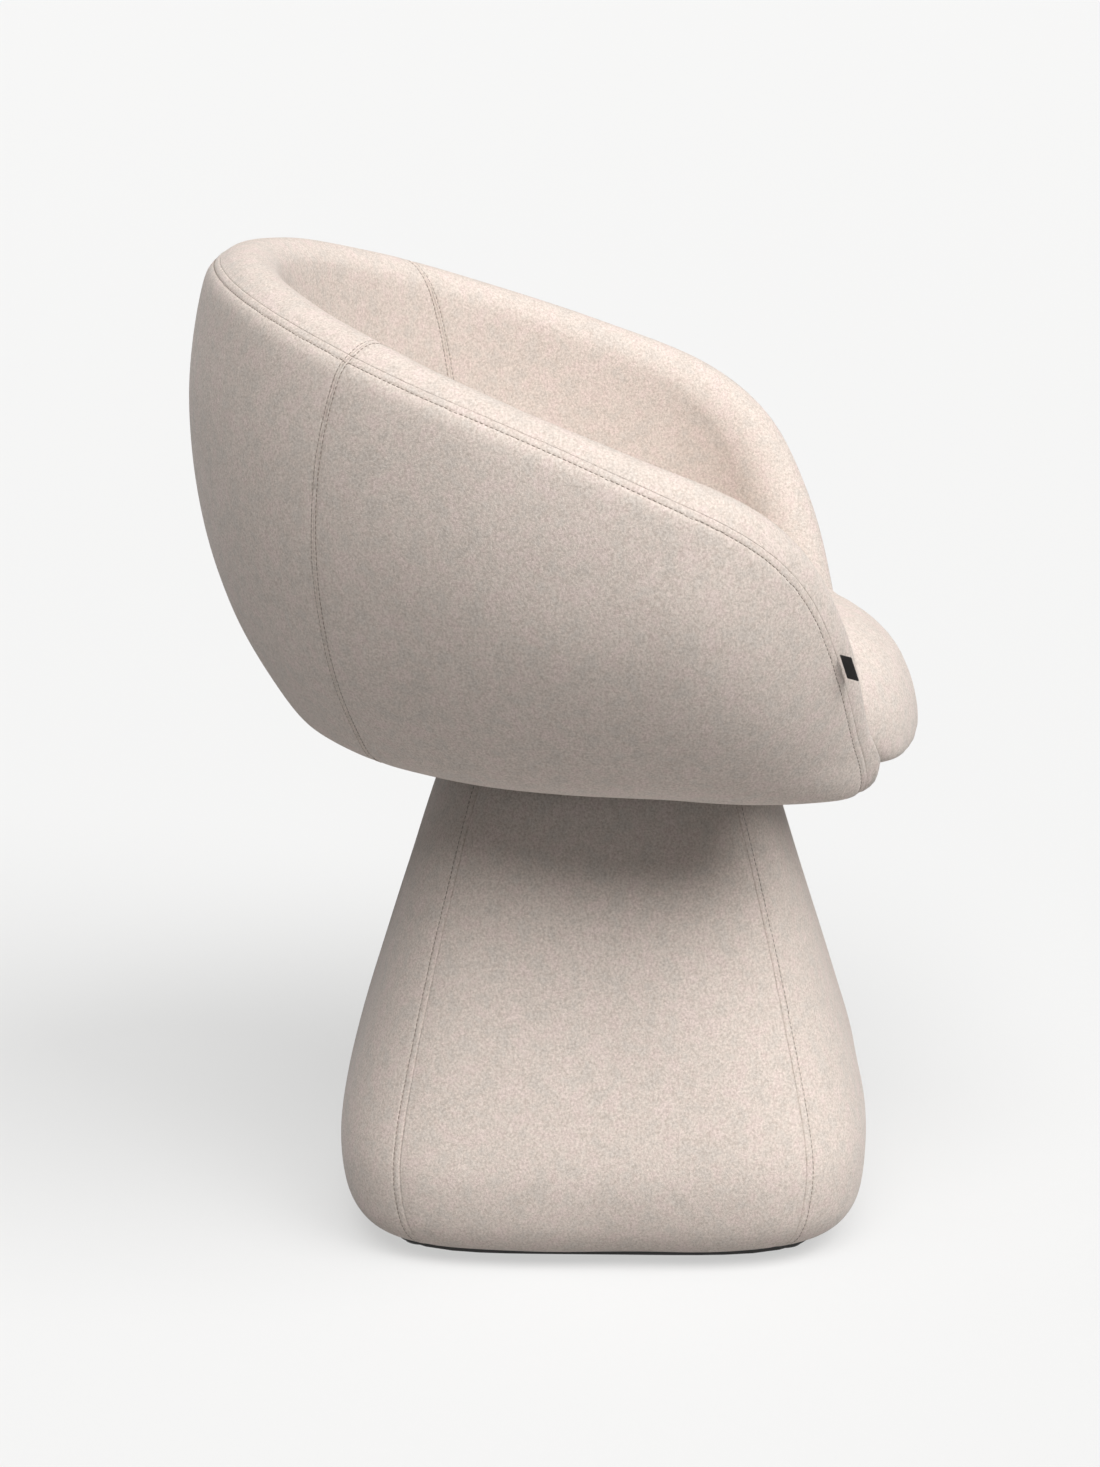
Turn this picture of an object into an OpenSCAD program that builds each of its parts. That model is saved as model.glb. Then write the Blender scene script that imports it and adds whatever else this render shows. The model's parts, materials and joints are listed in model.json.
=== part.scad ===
// Upholstered tub chair that swivels on a padded pedestal.
// The floor is z = 0, the swivel axis is the Z axis and the sitter faces -Y.

/* [Overall size] */
// Height of the pedestal's timber top above the floor
base_height = 377; // [310:1:452]
// Height of the tub from its underside to the top of the back
tub_height = 394; // [330:1:480]
// How far the back reaches behind the swivel axis
back_reach = 336; // [300:1:404]
// Half of the width over the arms
half_width = 325; // [290:1:390]
// How far the seat's nose reaches ahead of the swivel axis
seat_reach = 259; // [240:1:300]

/* [Tub] */
// Thickness of the padded rim
rim_t = 50; // [40:1:60]
// Fall of the rim towards the front, for each mm of depth
rim_slope = 0.371; // [0.3:0.001:0.45]
// Bulge of the back below its rim
back_bulge = 25.5; // [10:0.5:31]
// Bulge of the arms below their rim
arm_bulge = 12; // [5:0.5:20]
// How far the outside tucks in towards the underside
tuck = 130; // [110:1:150]
// How far ahead of the swivel axis the tub is widest
wide_y = 40; // [20:1:60]
// Depth of the curve that the arm fronts follow inwards
arm_curl = 205; // [190:1:250]
// How far the arm fronts reach ahead of the swivel axis
arm_reach = 161; // [151:1:191]
// How far ahead of the swivel axis the rim starts to turn down
rim_turn = 54; // [44:1:80]
// How much more the wall's padding fills inwards at its foot
wall_fill = 35; // [20:1:45]
// Thickness of the moulded shell inside the wall
shell_t = 8; // [5:0.5:10]
// Width of the shell's foot flange
flange_w = 34; // [30:1:35]
// Thickness of the upholstery fabric with its backing
fabric_t = 1.5; // [1:0.1:2]
// Gap left between one layer and the next
layer_gap = 0.5; // [0.3:0.1:0.8]
// How much further from the edge the rim seam runs at the arm fronts than along the rim
seam_back = 42; // [20:1:52]
// Distance along the rim from the back's middle to the back seam
seam_s = 256; // [230:1:290]

/* [Seat] */
// Height of the cushion's edge above the seat board
seat_edge = 68; // [56:1:82]
// Extra height at the middle of the cushion
seat_crown = 14; // [6:1:24]
// Thickness of the seat board
seat_board_t = 16; // [12:1:20]
// Drop from the seat board to the tub's underside
under_drop = 6; // [5:0.5:8]

/* [Pedestal] */
// Largest half width of the pedestal
foot_half = 218; // [180:1:262]
// Height of the pedestal's widest line
foot_wide_z = 74; // [59:1:89]
// Half width of the pedestal at its top
neck_half = 130; // [122:1:150]
// Half width of the fabric's lower edge
hem_half = 188; // [160:1:200]
// Height of the fabric's lower edge
hem_z = 9; // [8:0.5:14]
// Seams of the pedestal at its foot, as an angle from the left-right axis
seam_foot_angle = 37; // [33:0.5:45]
// The same seams at the neck
seam_neck_angle = 47; // [43:0.5:50]
// Squareness of the plan at the foot
foot_square = 4.8; // [3.8:0.1:5.8]
// Squareness of the plan at the neck, where 2 is a circle
neck_square = 2.4; // [2:0.05:2.9]
// Height of the glides
glide_h = 5; // [4:0.5:8]
// Thickness of the timber boards in the pedestal
board_t = 18; // [15:1:21]
// Thickness of the crossed ribs
rib_t = 15; // [12:1:18]
// Room for the thin wadding between the pedestal's fabric and its core
wadding_t = 3; // [2.5:0.5:4]
// Wall of the pedestal's moulded core
core_t = 5; // [4:0.5:6]
// Side of the square steel ballast plate
ballast_w = 230; // [190:1:250]
// Thickness of the ballast plate
ballast_t = 10; // [8:1:12]

/* [Swivel] */
// Radius of the spindle
spindle_r = 14; // [11:0.5:17]
// Length of the spindle below its plate
spindle_l = 135; // [110:1:165]
// Running clearance between the spindle and its bushes
run_gap = 0.05; // [0.03:0.01:0.08]
// Wall of the bushes
bush_wall = 6.4; // [5:0.1:8]
// Height of each bush
bush_h = 30; // [24:1:36]
// Wall of the hub's tube
hub_wall = 3.5; // [3:0.5:5]
// Radius of the hub's flange
hub_flange_r = 80; // [70:1:90]
// Thickness of the hub's flange
hub_flange_t = 5; // [4:0.5:6]
// How far the tube stands above its flange
hub_proud = 6; // [5:0.5:8]
// Thickness of the thrust washer
thrust_t = 3.8; // [3:0.1:5]
// Gap that lets the thrust washer turn
thrust_gap = 0.2; // [0.1:0.05:0.3]
// Side of the square plate under the seat
plate_w = 180; // [160:1:190]
// Thickness of that plate
plate_t = 5; // [4:0.5:6]
// Spacing of the four bolts into the seat board
seat_bolt_gap = 130; // [110:1:140]
// Diameter of the machine bolts
bolt_d = 8; // [6:1:10]

/* [Label] */
// Width of the bare tab in the arm seam
tab_w = 18; // [12:1:24]
// How far the tab stands out of the seam
tab_out = 10; // [7:1:15]

/* [Hidden] */

// Colours
wool = [0.76, 0.71, 0.67];
wool_dark = [0.71, 0.66, 0.62];
foam_col = [0.93, 0.88, 0.70];
ply = [0.80, 0.65, 0.45];
black = [0.10, 0.10, 0.10];
steel = [0.66, 0.67, 0.69];
zinc = [0.78, 0.78, 0.76];
nylon = [0.92, 0.92, 0.88];
moulded = [0.30, 0.30, 0.31];

// Heights of the stack, from the pedestal's top to the cushion
hub_top = base_height + hub_flange_t + hub_proud;
plate_z = hub_top + thrust_t + thrust_gap;
board_z = plate_z + plate_t;
board_top = board_z + seat_board_t;
under_z = board_z - under_drop;
rim_z = under_z + tub_height;
clear = 0.3;
flange_t = 5;
wall_foot = board_top + flange_t + 1.5;
layer = fabric_t + layer_gap;
// How far a cutter passes the face that it cuts
cut = 1;
round_r = rim_t / 2;

// Plan of the rim's middle line, as two quarter ellipses that meet at the widest place
rim_back = back_reach - round_r - back_bulge;
semi_x = half_width - round_r - arm_bulge;
semi_back = rim_back + wide_y;
function semi_y(a) = a < 90 ? semi_back : arm_curl;
function plan(a) = [semi_x * sin(a), semi_y(a) * cos(a) - wide_y];
function plan_out(a) = let (v = [semi_y(a) * sin(a), semi_x * cos(a)]) v / norm(v);
arc_step = 2;
arc = [for (i = 0, s = 0; i <= 85;
    s = s + norm(plan((i + 1) * arc_step) - plan(i * arc_step)), i = i + 1) [s, i * arc_step]];
arc_back = [for (p = arc) [p[1], p[0]]];
function angle_at(s) = lookup(abs(s), arc);
function s_at(a) = lookup(a, arc_back);
function angle_ahead(reach) = acos(-(reach - wide_y) / arm_curl);

// Height of the slanting rim, of the widest line below it, and the wall's two faces
function slant_z(y) = rim_z - rim_slope * (rim_back - y);
wide_share = 0.7;
bulge_fade = 50;
tuck_fade = 56;
function front_share(a, fade) = a < 90 ? 0 : pow(sin(90 * (a - 90) / fade), 2);
function wide_z(y) = under_z + wide_share * (slant_z(y) - under_z);
function bulge_at(a) = a < 90 ? arm_bulge + (back_bulge - arm_bulge) * pow(cos(a), 2)
    : arm_bulge * (1 - front_share(a, bulge_fade));
front_tuck = 0.2;
fullness = 1.92;
function tuck_at(a) = tuck * (1 - (1 - front_tuck) * front_share(a, tuck_fade));
function outer_off(a, z) = let (y = plan(a).y, top = slant_z(y), mid = wide_z(y),
    full = round_r + bulge_at(a))
    z >= mid ? full - bulge_at(a) * pow((z - mid) / (top - mid), 2)
    : full - tuck_at(a) * (1 - pow(max(0, 1 - pow((mid - z) / (mid - under_z), fullness)),
        1 / fullness));
front_fill = 0.25;
function fill_at(a) = wall_fill * (1 - (1 - front_fill) * front_share(a, tuck_fade));
function inner_off(a, z) = let (top = slant_z(plan(a).y))
    -round_r - fill_at(a) * min(1, (top - z) / (top - wall_foot));

// The rim in the unrolled wall, as distance along the plan and height
s_turn = s_at(angle_ahead(rim_turn));
s_tip = s_at(angle_ahead(arm_reach));
turn_share = 0.2;
turn_lead = 80;
turn_ease = 0.62;
turn_past = 4;
turn_fall = 62;
tip_lean = 66;
tip_rise = 12;
turn_start = [s_turn, slant_z(-rim_turn)];
turn_end = [s_tip + tip_lean, wall_foot + tip_rise];
turn_in = turn_start + turn_ease * (s_tip - s_turn) * [1, -rim_slope];
turn_out = [s_tip + turn_past, turn_start.y - turn_fall];
function bez(p, q, r, t, u) = p * pow(1 - u, 3) + 3 * q * pow(1 - u, 2) * u
    + 3 * r * (1 - u) * u * u + t * pow(u, 3);
function turn_at(u) = bez(turn_start, turn_in, turn_out, turn_end, u);
function side_rim(s) = [abs(s), slant_z(plan(angle_at(s)).y)];
function inward(t) = [t.y, -t.x] / norm(t);

// A station is [side, rim point, control point, foot point, length, extra depth of the rim seam]
function station(side, rim, foot, n, back) = let (l = norm(foot - rim))
    [side, rim, rim + n * l / 2, foot, l, back];
function side_station(s) = station(s < 0 ? -1 : 1, side_rim(s), [abs(s), wall_foot],
    inward(side_rim(abs(s) + 2) - side_rim(abs(s))),
    seam_back * turn_share * max(0, min(1, 1 + (abs(s) - s_turn) / turn_lead)));
foot_short = 4;
turn_step = 0.01;
function turn_station(u) = let (ahead = min(1, u + turn_step)) station(1, turn_at(u),
    [s_turn + (turn_end.x - foot_short - s_turn) * u, wall_foot],
    inward(turn_at(ahead) - turn_at(ahead - 2 * turn_step)),
    seam_back * (turn_share + (1 - turn_share) * u));
function along(st, w) = st[1] * pow(1 - w, 2) + 2 * st[2] * w * (1 - w) + st[3] * w * w;

// Rows run from the rim down to the foot, close together where the rim rounds over
round_rows = [0, 0.1, 0.315, 0.325, 0.62, 1];
round_shift = [0, 0.3, 1, 1, 1, 1];
foot_rows = 5;
last_round = len(round_rows) - 1;
rows = last_round + foot_rows;
seam_row = 3;
round_limit = 2.2;
seam_limit = 0.85;
function round_at(st) = min(round_r, st[4] / round_limit);
function row_share(st, j) = let (k = min(j, last_round))
    round_rows[k] + round_shift[k] * min(st[5], seam_limit * st[4] - round_at(st)) / round_at(st);
function row_dist(st, c, j) = let (u = row_share(st, j), first = round_at(st) * u + c * max(0, 1 - u))
    j <= last_round ? first : first + (st[4] - first) * (j - last_round) / foot_rows;
function row_swell(st, j) = sqrt(1 - pow(1 - min(1, row_share(st, j)), 2));
function wall_row(st, c, j, face) = let (q = along(st, row_dist(st, min(c, st[4] / 5), j) / st[4]),
    a = angle_at(q.x), o = outer_off(a, q.y), i = inner_off(a, q.y),
    off = (o + i) / 2 + face * ((o - i) / 2 - c) * row_swell(st, j), p = plan(a) + off * plan_out(a))
    [st[0] * p.x, p.y, q.y];
function core_row(st, half, j, drop) = let (q = along(st, min(1, (row_dist(st, 0, j) + drop) / st[4])),
    a = angle_at(q.x), off = (outer_off(a, q.y) + inner_off(a, q.y)) / 2 + half,
    p = plan(a) + off * plan_out(a)) [st[0] * p.x, p.y, q.y];

// The stations of each padded section
back_steps = 5;
side_steps = 5;
turn_steps = 8;
part_gap = 0.2;
back_end = seam_s - part_gap;
side_start = seam_s + part_gap;
back_stations = [for (k = [-back_steps:back_steps]) side_station(back_end * k / back_steps)];
side_stations = concat(
    [for (k = [0:side_steps]) side_station(side_start + (s_turn - side_start) * k / side_steps)],
    [for (k = [1:turn_steps]) turn_station(k / turn_steps)]);

// Solid through a row of closed loops; the first end is closed by the faces in cap, the last by their twins
module skin(rings, cap) {
    n = len(rings[0]);
    m = len(rings);
    walls = [for (i = [0:m - 2], j = [0:n - 1]) let (k = (j + 1) % n)
        each [[i * n + j, (i + 1) * n + k, i * n + k], [i * n + j, (i + 1) * n + j, (i + 1) * n + k]]];
    twins = [for (face = cap) [for (k = [len(face) - 1:-1:0]) face[k] + (m - 1) * n]];
    polyhedron([for (r = rings) each r], concat(walls, cap, twins), convexity = 8);
}

// Solid between two grids of points that lie a thickness apart
module sheet(face, back) {
    n = len(face[0]);
    m = len(face);
    b = m * n;
    skins = [for (i = [0:m - 2], j = [0:n - 2]) let (p = i * n + j, q = p + 1, r = p + n, s = r + 1)
        each [[p, q, r], [q, s, r], [b + p, b + r, b + q], [b + q, b + r, b + s]]];
    long_edges = [for (i = [0:m - 2]) let (p = i * n, r = p + n, q = p + n - 1, s = r + n - 1)
        each [[p, r, b + r], [p, b + r, b + p], [q, b + s, s], [q, b + q, b + s]]];
    short_edges = [for (j = [0:n - 2]) let (p = j, q = j + 1, r = (m - 1) * n + j, s = r + 1)
        each [[p, b + q, q], [p, b + p, b + q], [r, s, b + s], [r, b + s, b + r]]];
    polyhedron([for (g = [face, back]) each [for (r = g) each r]],
        concat(skins, long_edges, short_edges), convexity = 6);
}

// Below the wall's foot the outside tucks in under the seat board
tuck_rows = 4;
hem_in = 16;
front_hem_in = 28;
function hem_at(a) = hem_in + (front_hem_in - hem_in) * front_share(a, tuck_fade);
function tuck_curve(e, w, h) = [w * pow(cos(e), 2 / fullness), -h * pow(sin(e), 2 / fullness)];
function tuck_point(st, j, c) = let (a = angle_at(st[3].x), mid = wide_z(plan(a).y), h = mid - under_z,
    w = tuck_at(a), first = asin(pow((mid - wall_foot) / h, fullness / 2)),
    e = min(90, first + (90 - first) * j / tuck_rows), q = tuck_curve(e, w, h),
    u = inward(tuck_curve(min(90, e + 1), w, h) - tuck_curve(min(90, e + 1) - 1, w, h)),
    hem = j > tuck_rows ? hem_at(a) : 0,
    off = round_r + bulge_at(a) - w + q.x - hem + c * u.x, p = plan(a) + off * plan_out(a))
    [st[0] * p.x, p.y, mid + q.y + c * u.y];

// Padding of the wall: one moulding over the rim, with a pocket for the shell
core_rows = [last_round + 1, last_round + 3, rows];
pocket = shell_t / 2 + 4 * layer_gap;
toe_t = 8;
shell_foot = board_top + part_gap;
function foot_point(st, off, z) = let (a = angle_at(st[3].x),
    mid = (outer_off(a, wall_foot) + inner_off(a, wall_foot)) / 2, p = plan(a) + (mid + off) * plan_out(a))
    [st[0] * p.x, p.y, z];
up_rows = [for (j = [rows:-1:0]) if (j != seam_row) j];
down_rows = [for (j = [1:rows]) if (j != seam_row) j];
function foam_loop(st) = concat(
    [for (j = [2, 1]) tuck_point(st, j, layer)],
    [for (j = up_rows) wall_row(st, layer, j, 1)],
    [for (j = down_rows) wall_row(st, layer, j, -1)],
    [for (k = [2:-1:0]) core_row(st, -pocket, core_rows[k], 0)],
    [for (k = [0:2]) core_row(st, pocket, core_rows[k], 0)],
    [foot_point(st, pocket, shell_foot - part_gap), tuck_point(st, 2, layer + toe_t)]);
// Each end is closed by triangles from the padding's faces to the nearest corner of the pocket
function pocket_corner(j) = j >= core_rows[2] ? 0 : j >= core_rows[1] ? 1 : 2;
corners = concat([0, 1], [for (j = up_rows) 2 + pocket_corner(j)],
    [for (j = down_rows) 7 - pocket_corner(j)]);
last_point = len(corners) + 7;
foam_cap = [for (k = [0:len(corners) - 2])
    let (p = last_point - corners[k], q = last_point - corners[k + 1])
    each p == q ? [[k, k + 1, p]] : [[k, k + 1, p], [k + 1, q, p]]];
module wall_foam(stations) { skin([for (st = stations) foam_loop(st)], foam_cap); }

module back_foam() { color(foam_col) wall_foam(back_stations); }
module left_foam() { color(foam_col) wall_foam(side_stations); }
module right_foam() { color(foam_col) mirror([1, 0, 0]) wall_foam(side_stations); }

// Moulded shell: a wall inside the padding and a foot flange on the seat board
shell_top_drop = 1.5;
function shell_loop(st) = let (h = shell_t / 2) concat(
    [foot_point(st, h, shell_foot)],
    [for (k = [2:-1:0]) core_row(st, h, core_rows[k], k == 0 ? shell_top_drop : 0)],
    [for (k = [0:2]) core_row(st, -h, core_rows[k], k == 0 ? shell_top_drop : 0)],
    [foot_point(st, -h - flange_w, shell_foot + flange_t), foot_point(st, -h - flange_w, shell_foot)]);
shell_cap = [[0, 1, 6], [1, 2, 5], [1, 5, 6], [2, 3, 4], [2, 4, 5], [0, 6, 7], [0, 7, 8]];
screw_head_r = 4;
screw_head_t = 2.2;
screw_r = 2;
screw_l = 14;
screw_edge = 6;
screw_hole_gap = 0.2;
screw_pilot_gap = 0.05;
// Height of the flat seat cut into the sloping flange for each head
screw_seat_h = 5;
screw_angles = [12, 44, 74, 104];
module at_shell_screws() {
    for (a = screw_angles, side = [-1, 1]) {
        middle = (outer_off(a, wall_foot) + inner_off(a, wall_foot)) / 2;
        p = plan(a) + (middle - shell_t / 2 - flange_w + screw_edge) * plan_out(a);
        translate([side * p.x, p.y, shell_foot]) children();
    }
}
shell_turns = 5;
shell_half = concat([for (k = [1:back_steps]) side_station(seam_s * k / back_steps)],
    [for (k = [1:side_steps]) side_station(seam_s + (s_turn - seam_s) * k / side_steps)],
    [for (k = [1:shell_turns]) turn_station(k / turn_steps)]);
function flip(st) = [-st[0], st[1], st[2], st[3], st[4], st[5]];
module tub_shell() {
    color(moulded) difference() {
        skin([for (st = concat([for (k = [len(shell_half) - 1:-1:0]) flip(shell_half[k])],
            [side_station(0)], shell_half)) shell_loop(st)], shell_cap);
        at_shell_screws() translate([0, 0, -cut])
            cylinder(r = screw_r + screw_hole_gap, h = flange_t + 2 * cut, $fn = 24);
        at_shell_screws() translate([0, 0, flange_t])
            cylinder(r = screw_head_r + screw_hole_gap, h = screw_seat_h, $fn = 24);
    }
}

// Outside covers: from the rim seam down over the bulge and under the seat board
function outer_cover_row(st, c) = concat(
    [for (j = [seam_row:rows]) wall_row(st, c, j, 1)],
    [for (j = [1:tuck_rows + 1]) tuck_point(st, j, c)]);
module outer_cover(stations) {
    sheet([for (st = stations) outer_cover_row(st, 0)],
        [for (st = stations) outer_cover_row(st, fabric_t)]);
}

module outer_back_cover() { color(wool) outer_cover(back_stations); }
module outer_left_cover() { color(wool) outer_cover(side_stations); }
module outer_right_cover() { color(wool) mirror([1, 0, 0]) outer_cover(side_stations); }

// Inside covers: from the rim seam over the rim and down to the cushion's foot
function inner_cover_row(st, c) = concat(
    [for (j = [rows:-1:1]) if (j != seam_row) wall_row(st, c, j, -1)],
    [for (j = [0:seam_row - 1]) wall_row(st, c, j, 1)]);
module inner_cover(stations) {
    sheet([for (st = stations) inner_cover_row(st, 0)],
        [for (st = stations) inner_cover_row(st, fabric_t)]);
}

module inner_back_cover() { color(wool_dark) inner_cover(back_stations); }
module inner_left_cover() { color(wool_dark) inner_cover(side_stations); }
module inner_right_cover() { color(wool_dark) mirror([1, 0, 0]) inner_cover(side_stations); }

// Cushion: the tub part follows the wall's inside, the nose stands out between the arms
nose_angle = 139;
seat_gap = 3;
nose_root = plan(nose_angle) + (inner_off(nose_angle, wall_foot) - 2 * seat_gap) * plan_out(nose_angle);
nose_x = nose_root.x;
nose_y = seat_reach + nose_root.y;
tub_points = 16;
nose_points = 7;
function tub_edge(k, z, inset) = let (a = nose_angle * k / tub_points)
    plan(a) + (inner_off(a, z) - seat_gap - inset) * plan_out(a);
function nose_edge(k, inset) = let (b = 90 * k / nose_points, v = [nose_y * cos(b), -nose_x * sin(b)])
    [nose_x * cos(b), nose_root.y - nose_y * sin(b)] - inset * v / norm(v);
seat_half_points = tub_points + nose_points;
function seat_edge_point(k, z, inset) = k < tub_points ? tub_edge(k, z, inset)
    : nose_edge(k - tub_points, inset);
// Share of the nose's own profile at a point of the outline, from 0 in the tub to 1 at the front
nose_blend = 3;
function nose_share(k) = let (u = min(1, max(0, (k - tub_points - 1) / nose_blend))) u * u * (3 - 2 * u);

// Profiles of the cushion's edge from its foot to its top, as inset and height above the seat board,
// with the direction that points into the cushion
side_profile = [[24, clear], [22, 9], [3, 12], [0, 0.5 * seat_edge], [3, seat_edge - 14],
    [14, seat_edge - 4], [36, seat_edge + 3]];
side_in = [[0, 1], [0.7, 0.7], [0.9, 0.4], [1, 0], [0.95, -0.3], [0.6, -0.8], [0, -1]];
lip = seat_board_t + under_drop;
nose_profile = [[30, -lip], [7, 3 - lip], [0, 12 - lip], [3, 0.36 * seat_edge - 4],
    [19, 0.72 * seat_edge], [48, seat_edge + 4], [96, seat_edge + 15]];
nose_in = [[0, 1], [0.6, 0.8], [1, 0], [1, -0.15], [0.85, -0.5], [0.5, -0.87], [0.15, -1]];
profile_rows = len(side_profile);
function seat_row_point(i, j, c, low) = let (k = i <= seat_half_points ? i : 2 * seat_half_points - i,
    w = nose_share(k), q = side_profile[j] * (1 - w) + nose_profile[j] * w + c * (side_in[j] * (1 - w)
    + nose_in[j] * w), z = board_top + max(low, q.y), p = seat_edge_point(k, z, q.x))
    [i <= seat_half_points ? -p.x : p.x, p.y, z];
seat_points = 2 * seat_half_points;
function seat_ring(j, c, low) = [for (i = [0:seat_points - 1]) seat_row_point(i, j, c, low)];
crown_rings = [0.68, 0.36, 0.1];
seat_mid_y = 10;
crown_rise = 3;
function crown_ring(share, c) = let (edge = seat_ring(profile_rows - 1, c, -lip),
    level = board_top + seat_edge + crown_rise - c)
    [for (p = edge) let (m = [0, seat_mid_y, p.z])
        m + share * (p - m) + [0, 0, seat_crown * (1 - share * share) + (level - p.z) * (1 - share)]];
function seat_rings(c, low) = concat([for (j = [0:profile_rows - 1]) seat_ring(j, c, low)],
    [for (r = crown_rings) crown_ring(r, c)]);

foam_gap = 1;
module seat_foam() {
    color(foam_col) skin(seat_rings(layer + foam_gap, 2 * clear), [[for (j = [0:seat_points - 1]) j]]);
}

// A closed skin over a stack of rings, open below, with its crown closed by a small cap
module ring_shell(outer, inner) {
    n = len(outer[0]);
    m = len(outer);
    b = m * n;
    walls = [for (i = [0:m - 2], j = [0:n - 1]) let (k = (j + 1) % n, p = i * n + j, q = i * n + k,
        r = p + n, s = q + n) each [[p, s, q], [p, r, s], [b + p, b + q, b + s], [b + p, b + s, b + r]]];
    hem = [for (j = [0:n - 1]) let (k = (j + 1) % n) each [[j, k, b + k], [j, b + k, b + j]]];
    caps = [[for (j = [n - 1:-1:0]) (m - 1) * n + j], [for (j = [0:n - 1]) b + (m - 1) * n + j]];
    polyhedron([for (g = [outer, inner]) each [for (r = g) each r]], concat(walls, hem, caps),
        convexity = 6);
}

module seat_cover() {
    color(wool) ring_shell(seat_rings(0, -lip), seat_rings(fabric_t, fabric_t - lip));
}

// Outline of the tub's foot, for the seat board and the sheet under it
function foot_outline(gap, inset) = let (half = concat(
    [for (k = [0:tub_points]) let (a = nose_angle * k / tub_points)
        plan(a) + (inner_off(a, wall_foot) - gap) * plan_out(a)],
    [for (k = [1:nose_points]) nose_edge(k, inset)]))
    concat(half, [for (k = [len(half) - 2:-1:1]) [-half[k].x, half[k].y]]);
board_gap = 10;
board_inset = 30;
under_gap = 0.2;
tee_r = 5.4;
tee_l = 11;
tee_flange_r = 11;
tee_flange_t = 1.6;
tee_gap = 0.1;
module at_seat_bolts() {
    for (x = [-1, 1], y = [-1, 1]) translate([x * seat_bolt_gap / 2, y * seat_bolt_gap / 2, 0]) children();
}
module seat_board() {
    color(ply) difference() {
        translate([0, 0, board_z]) linear_extrude(seat_board_t)
            polygon(foot_outline(board_gap, board_inset));
        at_seat_bolts() translate([0, 0, board_z - cut])
            cylinder(r = tee_r + tee_gap, h = seat_board_t + 2 * cut, $fn = 32);
        at_seat_bolts() translate([0, 0, board_top - tee_flange_t - tee_gap])
            cylinder(r = tee_flange_r + clear, h = tee_flange_t + cut, $fn = 32);
        at_shell_screws() translate([0, 0, flange_t - screw_l - cut])
            cylinder(r = screw_r + screw_pilot_gap, h = screw_l, $fn = 24);
    }
}
under_t = 1;
under_in = 22;
under_nose_in = 14;
under_hole_r = 0.7 * plate_w + 4;
module underside_cover() {
    color(black) translate([0, 0, under_z - under_gap - under_t]) linear_extrude(under_t) difference() {
        polygon(foot_outline(board_gap + under_in, board_inset + under_nose_in));
        circle(r = under_hole_r, $fn = 64);
    }
}

// Screws that hold the shell's flange down on the board
module shell_screws() {
    color(zinc) at_shell_screws() {
        translate([0, 0, flange_t + screw_pilot_gap]) cylinder(r = screw_head_r, h = screw_head_t, $fn = 24);
        translate([0, 0, flange_t - screw_l]) cylinder(r = screw_r, h = screw_l + cut, $fn = 16);
    }
}

// Pedestal: a rounded square at the foot that rises to a circle at the neck
flank_ease = 18;
neck_z = base_height;
function flank_half(z) = z >= foot_wide_z
    ? let (t = (z - foot_wide_z) / (neck_z - foot_wide_z))
        foot_half - (foot_half - neck_half) * (t + (exp(-flank_ease * t) - 1 + t) / (flank_ease - 1))
    : let (t = (foot_wide_z - z) / (foot_wide_z - hem_z))
        hem_half + (foot_half - hem_half) * sqrt(max(0, 1 - pow(t, 2.4)));
function flank_square(z) = foot_square + (neck_square - foot_square) * min(1, max(0, z / neck_z));
function flank_point(a, z, inset) = let (n = flank_square(z),
    r = flank_half(z) / pow(pow(abs(cos(a)), n) + pow(abs(sin(a)), n), 1 / n))
    [(r - inset) * cos(a), (r - inset) * sin(a), z];

flank_rows = [hem_z, hem_z + 6, hem_z + 18, (hem_z + foot_wide_z) / 2, foot_wide_z, foot_wide_z + 26,
    foot_wide_z + 80, 0.65 * neck_z, neck_z - 6];
fold_z = neck_z + fabric_t + clear;
fold_insets = [4, 30];
panel_levels = concat(flank_rows, [fold_z, fold_z]);
function panel_row(u, half_angles, c) = [for (k = [0:len(panel_levels) - 1])
    let (a = u * half_angles[k], folded = k - len(flank_rows))
    folded < 0 ? flank_point(a, panel_levels[k], c) : flank_point(a, fold_z - c, fold_insets[folded])];
side_panel_steps = 9;
end_panel_steps = 13;
seam_gap_angle = 0.08;
// The seams lean: the side panels are narrower at the foot than the front and back panels
function seam_angle(z) = seam_foot_angle + (seam_neck_angle - seam_foot_angle) * min(1, z / neck_z);
module base_panel(half_angles, steps) {
    shares = [for (k = [0:steps]) 2 * k / steps - 1];
    sheet([for (u = shares) panel_row(u, half_angles, 0)],
        [for (u = shares) panel_row(u, half_angles, fabric_t)]);
}
side_halves = [for (z = panel_levels) seam_angle(z) - seam_gap_angle];
end_halves = [for (z = panel_levels) 90 - seam_angle(z) - seam_gap_angle];
module base_left_panel() { color(wool) base_panel(side_halves, side_panel_steps); }
module base_back_panel() { color(wool) rotate(90) base_panel(end_halves, end_panel_steps); }
module base_right_panel() { color(wool) rotate(180) base_panel(side_halves, side_panel_steps); }
module base_front_panel() { color(wool) rotate(270) base_panel(end_halves, end_panel_steps); }

// Moulded core that carries the fabric
board_top_z = glide_h + board_t;
core_foot = board_top_z + clear;
core_levels = [core_foot, (hem_z + foot_wide_z) / 2, foot_wide_z, foot_wide_z + 26, foot_wide_z + 80,
    0.65 * neck_z, neck_z];
core_steps = 40;
core_in = layer + wadding_t;
function core_ring(z, inset) = [for (k = [0:core_steps - 1]) flank_point(360 * k / core_steps, z, inset)];
module base_core() {
    color(moulded) tube_skin([for (z = core_levels) core_ring(z, core_in)],
        [for (z = core_levels) core_ring(z, core_in + core_t)]);
}
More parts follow.
